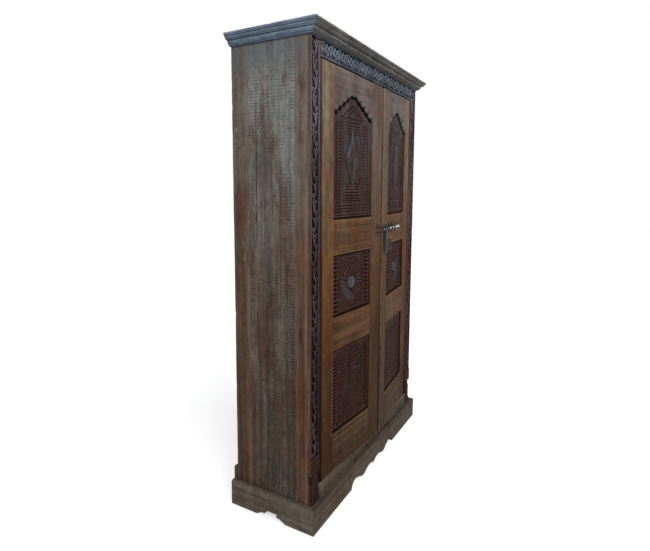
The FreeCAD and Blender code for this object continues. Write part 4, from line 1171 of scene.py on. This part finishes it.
def old_paint_and_light(name, u, z):
    """Where blue-grey paint is left on a panel, from 0 to 1. On the star's facets and on the boss it is
    partly painted light.
    """
    x = u - opening_middle
    left = 0.12 * smooth((noise(u / 12, z / 16, 12.0) - 0.66) / 0.12)
    if name == "top":
        spread = star_spread(u, z)
        outer = smooth((spread - 0.58) / 0.06)
        # Facets facing the light are paler: partly painted light
        facet = np.where(z > STAR_WAIST, np.where(x < 0, 0.85 * outer, 0.10), np.where(x < 0, 0.0, 0.34))
        return np.where(spread < 1, facet * (0.7 + 0.3 * noise(u / 14, z / 30, 2.0)), left)
    if name == "middle":
        foot, top = spaces["middle"]
        y = z - (foot + top) / 2
        radius = np.hypot(x, y)
        # The boss carries a painted highlight as well as paint
        shown = np.where(radius < BOSS, 0.75, 0.0)
        low_left = 0.35 * smooth((-x - y - 34) / 30) * (radius < 84)
        return np.maximum(np.maximum(shown, low_left), left)
    return left


def panel_shell(name):
    """A door's panel, with its field slightly uneven, painted shade at its borders, painted shade and dirt in
    its hollows, wear and painted highlights on its crests, and old paint.
    """
    foot, top = spaces[name]
    if name == "top":
        top = arch_apex + PANEL_IN_ARCH - 0.5
    u = np.arange(opening_from + JOINT_GAP, opening_to - JOINT_GAP, CARVING_STEP)
    z = np.arange(foot + JOINT_GAP, top - JOINT_GAP, CARVING_STEP)
    wide, tall = np.meshgrid(u, z)
    bent_u = wide + 1.3 * (noise(wide / 45, tall / 45, 3.3) - 0.5)
    bent_z = tall + 1.6 * (noise(wide / 50, tall / 50, 9.1) - 0.5)
    rise = PANEL_RISE[name](bent_u, bent_z) - 0.5 * fine_noise(wide / 8, tall / 8)
    opening_top = top
    if name == "top":
        opening_top = arch_height(wide)
        rise = np.where(tall > opening_top - 1.5, -0.2, rise)
    depth = PANEL_RECESS - rise
    dirt, raised = shades(depth, PANEL_SCALE)
    near_edge = from_edge(wide, tall, opening_from, opening_to, foot, opening_top)
    # Painted shade along the border, beside the frame
    dirt = np.maximum(dirt, 0.95 * smooth((BORDER + 1.5 - near_edge) / 2.5))
    return slab(u, z, depth, PANEL_THICKNESS, dirt=dirt, wear=0.7 * raised, coat=old_paint_and_light(name, wide, tall))


def door_shells():
    """The shells of one door's nodes in door space."""
    left, right = opening_from + JOINT_GAP, opening_to - JOINT_GAP
    members = {
        "hinge_stile": (0, opening_from - JOINT_GAP, door_foot, door_head, (0, 0.8, 2.0, 2.0), 1),
        "meeting_stile": (opening_to + JOINT_GAP, door_width, door_foot, door_head,
                          (0.8, 3.0, 2.0, 2.0), 2, 0.3),
        "bottom_rail": (left, right, door_foot, rails["bottom_rail"][1], (0.8, 0.8, 2.0, 0.5), 3),
        "lower_middle_rail": (left, right, *rails["lower_middle_rail"], (0.8, 0.8, 0.5, 0.5), 4),
        "upper_middle_rail": (left, right, *rails["upper_middle_rail"], (0.8, 0.8, 0.5, 0.5), 5)}
    shells = {name: [frame_member(*sizes)] for name, sizes in members.items()}
    for stile in ("hinge_stile", "meeting_stile"):
        shells[stile] = [with_sloped_top(shells[stile][0])]
    shells["hinge_stile"] += half_round()
    shells["top_rail"] = [top_rail_shell(6)]
    for place in ("bottom", "middle", "top"):
        shells[place + "_panel"] = [panel_shell(place)]
    for key, shares in (("tone", DOOR_LIGHTNESS), ("coat", DOOR_FILM)):
        for name, share in shares.items():
            for part in shells[name]:
                part.values[key] = np.full(len(part.points), share)
    return shells


def in_body(shell, side):
    """Moves a shell from a left door's space to a door's own body, mirrored for the right one."""
    sign = 1 if side == "left" else -1
    return shell.moved(lambda p: np.stack([sign * p[:, 0], p[:, 1] - HALF_THICKNESS, p[:, 2]], -1))


def build_doors():
    shells = door_shells()
    for side, _ in SIDES:
        for name, parts in shells.items():
            panel = name.endswith("panel")
            make_piece(side + "_" + name, [in_body(part, side) for part in parts], side + "_door",
                       panel_wood if panel else door_wood,
                       grain="x" if name.endswith("rail") else "z",
                       replaces=("%s_door_%s" % (side, name),), matrix=door_matrix(side))


# Nail heads: distance from the pivot and height, then depth and share of the radius of their rings
NAIL_PLACES = {"left": ((239, 1807), (46, 1770)), "right": ((257, 1805), (256, 1793))}
NAIL_RADIUS = 2.8
NAIL_STATIONS = ((4.0, 0.5), (1.2, 0.9), (0.5, 1.0), (0.1, 0.8), (0.0, 0.3))


def build_nails():
    """Old nail heads near the top of the doors."""
    for side, _ in SIDES:
        heads = [turned(place, NAIL_STATIONS, NAIL_RADIUS, NAIL_POINTS) for place in NAIL_PLACES[side]]
        heads = [in_body(head.moved(lambda p: p[:, (0, 2, 1)]), side) for head in heads]
        make_piece(side + "_door_nails", heads, side + "_door", dark_iron,
                   matrix=door_matrix(side))


# Case

# Grid of the side boards, and the rear board's crack: distance from its edge, foot and top
SIDE_STEP = 3.4
CRACK_INSET, CRACK_FOOT, CRACK_TOP = 42.0, 620.0, 1760.0


def side_board(node, index):
    """A rough-sawn board of a side, with shallow saw marks and a drying crack."""
    low, high = box_mm(node)
    u = ticks(low[1], high[1], SIDE_STEP)
    z = ticks(low[2], high[2], SIDE_STEP)
    wide, tall = np.meshgrid(u, z)
    edge = from_edge(wide, tall, low[1], high[1], low[2], high[2])
    depth = arris(edge, 1.2 + noise(tall / 40, index)) + 0.8 * noise(wide / 30, tall / 160, index)
    depth = depth + 0.4 * fine_noise(wide / 12, tall / 12, index)
    if node.endswith("back"):
        wander = 9 * (noise(tall / 120, 4.5) - 0.5) + 4 * (fine_noise(tall / 22) - 0.5)
        crack_line = high[1] - CRACK_INSET + wander
        length = smooth((tall - CRACK_FOOT) / 90) * smooth((CRACK_TOP - tall) / 90)
        length = length * (0.25 + 0.75 * smooth((noise(tall / 70, 8.5) - 0.35) / 0.2))
    else:
        crack_line = low[1] + (high[1] - low[1]) * (0.35 + 0.35 * noise(tall / 300, index, 2.5))
        length = 0.6 * smooth((noise(tall / 200, index + 3.5) - 0.60) / 0.12)
    crack = groove(wide - crack_line, 1.6 + 3.0 * noise(tall / 35, 6.5)) * length
    depth = depth + 2.2 * crack
    wear = np.clip(1 - edge / 4, 0, 1) * noise(wide / 15, tall / 25, index)
    shell = slab(u, z, depth, high[0] - low[0], wear=wear, dirt=0.85 * smooth(1.4 * crack))
    side = -1 if node.startswith("left") else 1
    outer = low[0] if side < 0 else high[0]
    return shell.moved(lambda p: np.stack([outer - side * p[:, 1], p[:, 0], p[:, 2]], -1))


# The back's boards are drawn this much wider at each side, so that no light shows between them
BACK_BOARD_LAP = 1.6
# Length of each of the threshold's tenons, which its worn board leaves out
THRESHOLD_TENON = 30
# The frieze's grid over its lower band and above it, and the gap at its ends
BAND_STEP, FRIEZE_STEP, FRIEZE_END = 0.7, 1.4, 0.3


def case_piece(name, shell, material, node, grain="z"):
    """A piece of one shell that rides on the cabinet in place of a node."""
    make_piece(name, [shell], "cabinet", material, grain=grain, replaces=(node,))


def pilaster_shell(node):
    """A pilaster whose vine is dark with painted shade and dirt in its hollows and pale with a painted
    highlight, partly wear, at its rim.
    """
    low, high = box_mm(node)
    width = high[0] - low[0]
    across = np.arange(-width / 2, width / 2 + 0.01, width / round(width / CARVING_STEP))
    along = np.linspace(low[2], high[2], int((high[2] - low[2]) / CARVING_STEP))
    # Painted highlight, partly wear, along both rims of the face
    rim = 0.55 * smooth((1.9 - (width / 2 - np.abs(across))) / 0.6)
    vine_share = smooth((along - VINE_FOOT) / 10)[:, None]
    shell = carved_shell(across, along, pilaster_depth(across, along, width, high[2]), high[1] - low[1],
                         edges=rim * vine_share, share=vine_share)
    return place_front(shell, (low[0] + high[0]) / 2, low[1])


def frieze_shell(node):
    """The frieze board, with a finer grid over its rope and fillet."""
    low, high = box_mm(node)
    tall = high[2] - low[2]
    left, right = low[0] + FRIEZE_END, high[0] - FRIEZE_END
    across = np.linspace(left, right, int((high[0] - low[0]) / CARVING_STEP))
    rise = np.concatenate([np.arange(0, BAND_HEIGHT, BAND_STEP),
                           np.linspace(BAND_HEIGHT, tall, int((tall - BAND_HEIGHT) / FRIEZE_STEP))])
    # Painted highlights, partly wear, along the crests of the rope and the fillet
    bands = 0.8 * np.maximum(ridge(rise - ROPE_MIDDLE, 1.9), ridge(rise - FILLET_MIDDLE, 1.7))
    depth = frieze_depth(across, low[2] + rise, low[2], high[2])
    shell = carved_shell(across, low[2] + rise, depth, high[1] - low[1], edges=bands[:, None])
    return place_front(shell, 0, low[1])


def build_case():
    for side, sign in SIDES:
        for index, place in enumerate(("front", "middle", "back")):
            node = "%s_side_board_%s" % (side, place)
            shell = side_board(node, index + 3 * (sign > 0))
            case_piece("%s_plank_%s" % (side, place), shell, side_wood, node)
        for name, seed in (("front_post", 1.0), ("back_post", 2.0)):
            node = side + "_" + name
            shell = board(*box_mm(node), 2, seed=seed + 5 * (sign > 0))
            case_piece(node + "_worn", shell, post_wood, node)
        node = side + "_pilaster"
        case_piece(node + "_carved", pilaster_shell(node), carved_wood, node)
    case_piece("frieze_carved", frieze_shell("frieze_board"), frieze_wood, "frieze_board", "x")
    for index in range(4):
        node = "back_board_%d" % (index + 1)
        low, high = box_mm(node)
        low[0], high[0] = low[0] - BACK_BOARD_LAP, high[0] + BACK_BOARD_LAP
        shell = board(low, high, 2, step=16, radius=1.0, chip=0.4, seed=10.0 + index)
        case_piece("back_plank_%d" % (index + 1), shell, inner_wood, node)
    low, high = box_mm("threshold_rail")
    low[0], high[0] = low[0] + THRESHOLD_TENON, high[0] - THRESHOLD_TENON
    shell = board(low, high, 0, seed=21.0, radius=3.0)
    case_piece("threshold_worn", shell, threshold_wood, "threshold_rail", "x")


# Cornice: height of its cap, step under it, and how far the bead and the neck stand out
CORNICE_CAP, CORNICE_STEP, CORNICE_BEAD, CORNICE_NECK = 8.0, 4.0, 20.0, 8.0
BEAD_RADIUS, BEAD_HEIGHT, NECK_HEIGHT = 3.0, 16.0, 3.0
CORNICE_RUN_STEP, MITRE_GAP = 9.0, 0.15
# Points of the cove that lie in the reeds' grooves, which take painted shade, and those on their edges, which
# take painted highlights
REEDS, REED_EDGES = (2, 3, 8, 13, 14), (1, 4, 7, 9, 12, 15)
case_half = box_mm("right_back_post")[1][0]


def curve(start, end, bulge, count=9):
    """Points on a bent line from start to end, bulged to its left by a share of its length."""
    start, end = np.array(start, float), np.array(end, float)
    side = np.array([-(end - start)[1], (end - start)[0]]) * bulge
    return [start + (end - start) * t + side * 4 * t * (1 - t) for t in np.linspace(0, 1, count)]


def cornice_profile(overhang, height, inset):
    """Moulding outline as distance out of the case and height, with wear and painted highlights, and dirt and
    painted shade, at each point.
    """
    neck, bead, step = CORNICE_NECK, CORNICE_BEAD, overhang - CORNICE_STEP
    bead_foot, bead_top, cap_foot = BEAD_HEIGHT - BEAD_RADIUS, BEAD_HEIGHT + BEAD_RADIUS, height - CORNICE_CAP
    hollow = curve((neck, NECK_HEIGHT + 0.6), (bead - 1, bead_foot), -0.16)
    swell = curve((bead, bead_foot + 0.6), (bead, bead_top - 0.8), -0.42, 7)
    cove = curve((bead, bead_top + 0.6), (step, cap_foot - 0.8), -0.17, 17)
    reeded = [(x - 1.1 * (i in REEDS), z, 0.9 * (i in REED_EDGES), 1.1 * (i in REEDS))
              for i, (x, z) in enumerate(cove)]
    return np.array([
        (-inset, 0, 0, 0), (neck - 2, 0, 0, 0.6), (neck, 0.4, 0.4, 0.2), (neck, NECK_HEIGHT - 0.6, 0.2, 0.3),
        (neck - 0.5, NECK_HEIGHT, 0, 0.9), *[(x, z, 0, 0.15) for x, z in hollow],
        (bead - 1.6, bead_foot + 0.3, 0, 1.0), *[(x, z, 0.8, 0) for x, z in swell],
        (bead - 1.2, bead_top - 0.2, 0, 1.0), *reeded,
        (step - 0.8, cap_foot - 0.2, 0, 0.9), (overhang - 1.4, cap_foot, 0.3, 0),
        (overhang - 0.3, cap_foot + 0.8, 0.8, 0), (overhang, cap_foot + 2.6, 0.2, 0),
        (overhang, height - 2.6, 0.3, 0), (overhang - 0.6, height - 0.8, 0.9, 0),
        (overhang - 2, height, 0.7, 0), (overhang - 12, height, 0.1, 0), (-inset, height, 0, 0)], float)


def cornice_bar(start, end, along, seed):
    """The moulding between two ends, where along gives a point of the run from a share and a distance out."""
    low, high = box_mm("front_cornice")
    overhang = high[0] - case_half
    profile = cornice_profile(overhang, high[2] - low[2], high[1] - low[1] - overhang)
    reach, rise, wear, dirt = profile.T
    shares = np.linspace(0, 1, int((end - start) / CORNICE_RUN_STEP))
    sections = []
    for share in shares:
        run = start + (end - start) * share
        worn = 0.45 * fine_noise(run / 14, rise / 6, seed) * (reach > 0)
        chip = 1.6 * smooth((fine_noise(run / 9, seed + 2.0, rise / 12) - 0.76) / 0.1) * (wear > 0.6)
        height = np.where(rise > CORNICE_CAP, rise - 0.5 * chip, rise)
        sections.append(along(share, reach - worn - chip, low[2] + height))
    ragged = noise(np.linspace(start, end, len(shares))[:, None] / 30, rise / 20, seed)
    return loft(np.stack(sections), wear=wear * (0.4 + ragged), dirt=np.broadcast_to(dirt, ragged.shape))


def build_cornice():
    low, high = box_mm("front_cornice")
    front = low[1] + (high[0] - case_half)
    back = box_mm("left_cornice")[1][1]

    def front_run(share, out, height):
        reach = case_half + out - MITRE_GAP
        return np.stack([-reach + 2 * reach * share, front - out, height], -1)

    bar = cornice_bar(-case_half, case_half, front_run, 1.0)
    case_piece("front_moulding", bar, cornice_wood, "front_cornice", "x")
    for side, sign in SIDES:
        def side_run(share, out, height):
            start = front - out + MITRE_GAP
            return np.stack([sign * (case_half + out), start + (back - start) * share, height], -1)
        bar = cornice_bar(front, back, side_run, 3.0 + sign)
        case_piece(side + "_moulding", bar, cornice_side_wood, side + "_cornice", "y")


WELD_DISTANCE, BEVEL_ANGLE = 0.00002, 35
# Materials and edge radii of the nodes that keep their shape
DRESSED_NODES = (
    (plinth_wood_x, 2.0, ("front_plinth", "back_plinth")),
    (plinth_wood_y, 2.0, ("left_plinth", "right_plinth")),
    (inner_wood_x, 1.0, ("door_head_rail",)),
    (inner_wood_x, 1.2, ("floor_boards",)),
    (inner_wood_x, 1.5, ("back_rails", "top_boards", "lower_shelf", "middle_shelf", "upper_shelf")),
    (inner_wood_y, 1.5, ("left_side_rails", "right_side_rails", "shelf_cleats")),
    (dark_iron, 0.6, ("bolt_guides", "bolt_keeper", "hasp")),
    (dark_iron, 0.2, ("ring_eye",)),
    (ring_iron, 0.2, ("pull_ring",)),
    (worn_steel, 0.5, ("bolt_rod",)))


def dress(node, material, bevel):
    """A CAD node that keeps its shape gets soft edges and its material."""
    obj = nodes[node]
    weld = obj.modifiers.new("weld", "WELD")
    weld.merge_threshold = WELD_DISTANCE
    edges = obj.modifiers.new("edges", "BEVEL")
    edges.width = bevel * MM
    edges.segments = 2
    edges.limit_method = "ANGLE"
    edges.angle_limit = math.radians(BEVEL_ANGLE)
    edges.harden_normals = False
    obj.data.materials.clear()
    obj.data.materials.append(material)


def dress_nodes():
    for material, bevel, names in DRESSED_NODES:
        for name in names:
            dress(name, material, bevel)


# Floor, light and camera

WORLD_COLOUR, WORLD_LEVEL = (0.96, 0.98, 1.0, 1), 0.45
BACKDROP_COLOUR, FLOOR_COLOUR = (1, 1, 1, 1), (0.86, 0.86, 0.86, 1)
# Distances in metres from the middle over which the floor's glow changes, and the glow
FLOOR_REACH, FLOOR_RANGE, FLOOR_GLOW = 14.0, (0.9, 3.2), (0.5, 0.8)
# Lamps: name, place, target, size in metres and power in watts
LAMPS = (("key", (-3.2, -2.6, 3.3), (0, 0, 1.2), 2.0, 125), ("fill", (2.6, -4.2, 2.4), (0, 0, 1.0), 2.6, 60))


def seen_directly(g):
    """1 for rays from the camera or from a mirror-like face, and 0 for others."""
    path = g.node("ShaderNodeLightPath")
    return g.math("MAXIMUM", path.outputs["Is Camera Ray"], path.outputs["Is Glossy Ray"])


def build_floor():
    mesh = bpy.data.meshes.new("floor")
    corners = [(x * FLOOR_REACH, y * FLOOR_REACH, 0) for x, y in ((-1, -1), (1, -1), (1, 1), (-1, 1))]
    mesh.from_pydata(corners, [], [(0, 1, 2, 3)])
    floor = bpy.data.objects.new("floor", mesh)
    bpy.context.scene.collection.objects.link(floor)
    material, g, shader = new_material("floor")
    for key, value in (("Base Color", FLOOR_COLOUR), ("Roughness", 0.9), ("Specular IOR Level", 0.1)):
        g.put(value, shader.inputs[key])
    place = g.node("ShaderNodeTexCoord").outputs["Object"]
    away = g.node("ShaderNodeVectorMath", ((0, place),), operation="LENGTH").outputs["Value"]
    level = g.range(away, *FLOOR_RANGE, *FLOOR_GLOW)
    glow = g.node("ShaderNodeEmission", (("Strength", g.times(seen_directly(g), level)),))
    both = g.node("ShaderNodeAddShader", ((0, shader.outputs[0]), (1, glow.outputs[0])))
    g.put(both.outputs[0], g.tree.nodes["Material Output"].inputs["Surface"])
    mesh.materials.append(material)


def build_light():
    world = bpy.data.worlds.new("studio")
    bpy.context.scene.world = world
    world.use_nodes = True
    g = Graph(world.node_tree)
    g.tree.nodes.clear()
    light, backdrop = [g.node("ShaderNodeBackground", (("Color", colour), ("Strength", level))).outputs[0]
                       for colour, level in ((WORLD_COLOUR, WORLD_LEVEL), (BACKDROP_COLOUR, 1.0))]
    mixed = g.node("ShaderNodeMixShader", ((0, seen_directly(g)), (1, light), (2, backdrop)))
    g.node("ShaderNodeOutputWorld", (("Surface", mixed.outputs[0]),))
    for name, place, target, size, power in LAMPS:
        data = bpy.data.lights.new(name, "AREA")
        data.size = size
        data.energy = power
        lamp = bpy.data.objects.new(name, data)
        bpy.context.scene.collection.objects.link(lamp)
        lamp.location = place
        lamp.rotation_euler = (Vector(target) - Vector(place)).to_track_quat("-Z", "Y").to_euler()


def build_camera():
    forward = Vector((math.sin(CAMERA_YAW) * math.cos(CAMERA_PITCH),
                      math.cos(CAMERA_YAW) * math.cos(CAMERA_PITCH), math.sin(CAMERA_PITCH)))
    level = Vector((math.cos(CAMERA_YAW), -math.sin(CAMERA_YAW), 0))
    upright = level.cross(forward)
    right = level * math.cos(CAMERA_ROLL) + upright * math.sin(CAMERA_ROLL)
    above = upright * math.cos(CAMERA_ROLL) - level * math.sin(CAMERA_ROLL)
    data = bpy.data.cameras.new("camera")
    data.sensor_fit = "HORIZONTAL"
    data.sensor_width = SENSOR
    data.lens = FOCAL_PIXELS / IMAGE_WIDTH * SENSOR
    data.shift_x = (IMAGE_WIDTH / 2 - CENTRE_PIXEL[0]) / IMAGE_WIDTH
    data.shift_y = (CENTRE_PIXEL[1] - IMAGE_HEIGHT / 2) / IMAGE_WIDTH
    camera = bpy.data.objects.new("camera", data)
    bpy.context.scene.collection.objects.link(camera)
    camera.matrix_world = Matrix((
        (right.x, above.x, -forward.x, CAMERA_PLACE[0]),
        (right.y, above.y, -forward.y, CAMERA_PLACE[1]),
        (right.z, above.z, -forward.z, CAMERA_PLACE[2]),
        (0, 0, 0, 1)))
    bpy.context.scene.camera = camera


build_camera()
build_floor()
build_light()
build_case()
build_cornice()
build_doors()
build_nails()
dress_nodes()
bpy.context.scene.view_settings.view_transform = "Standard"
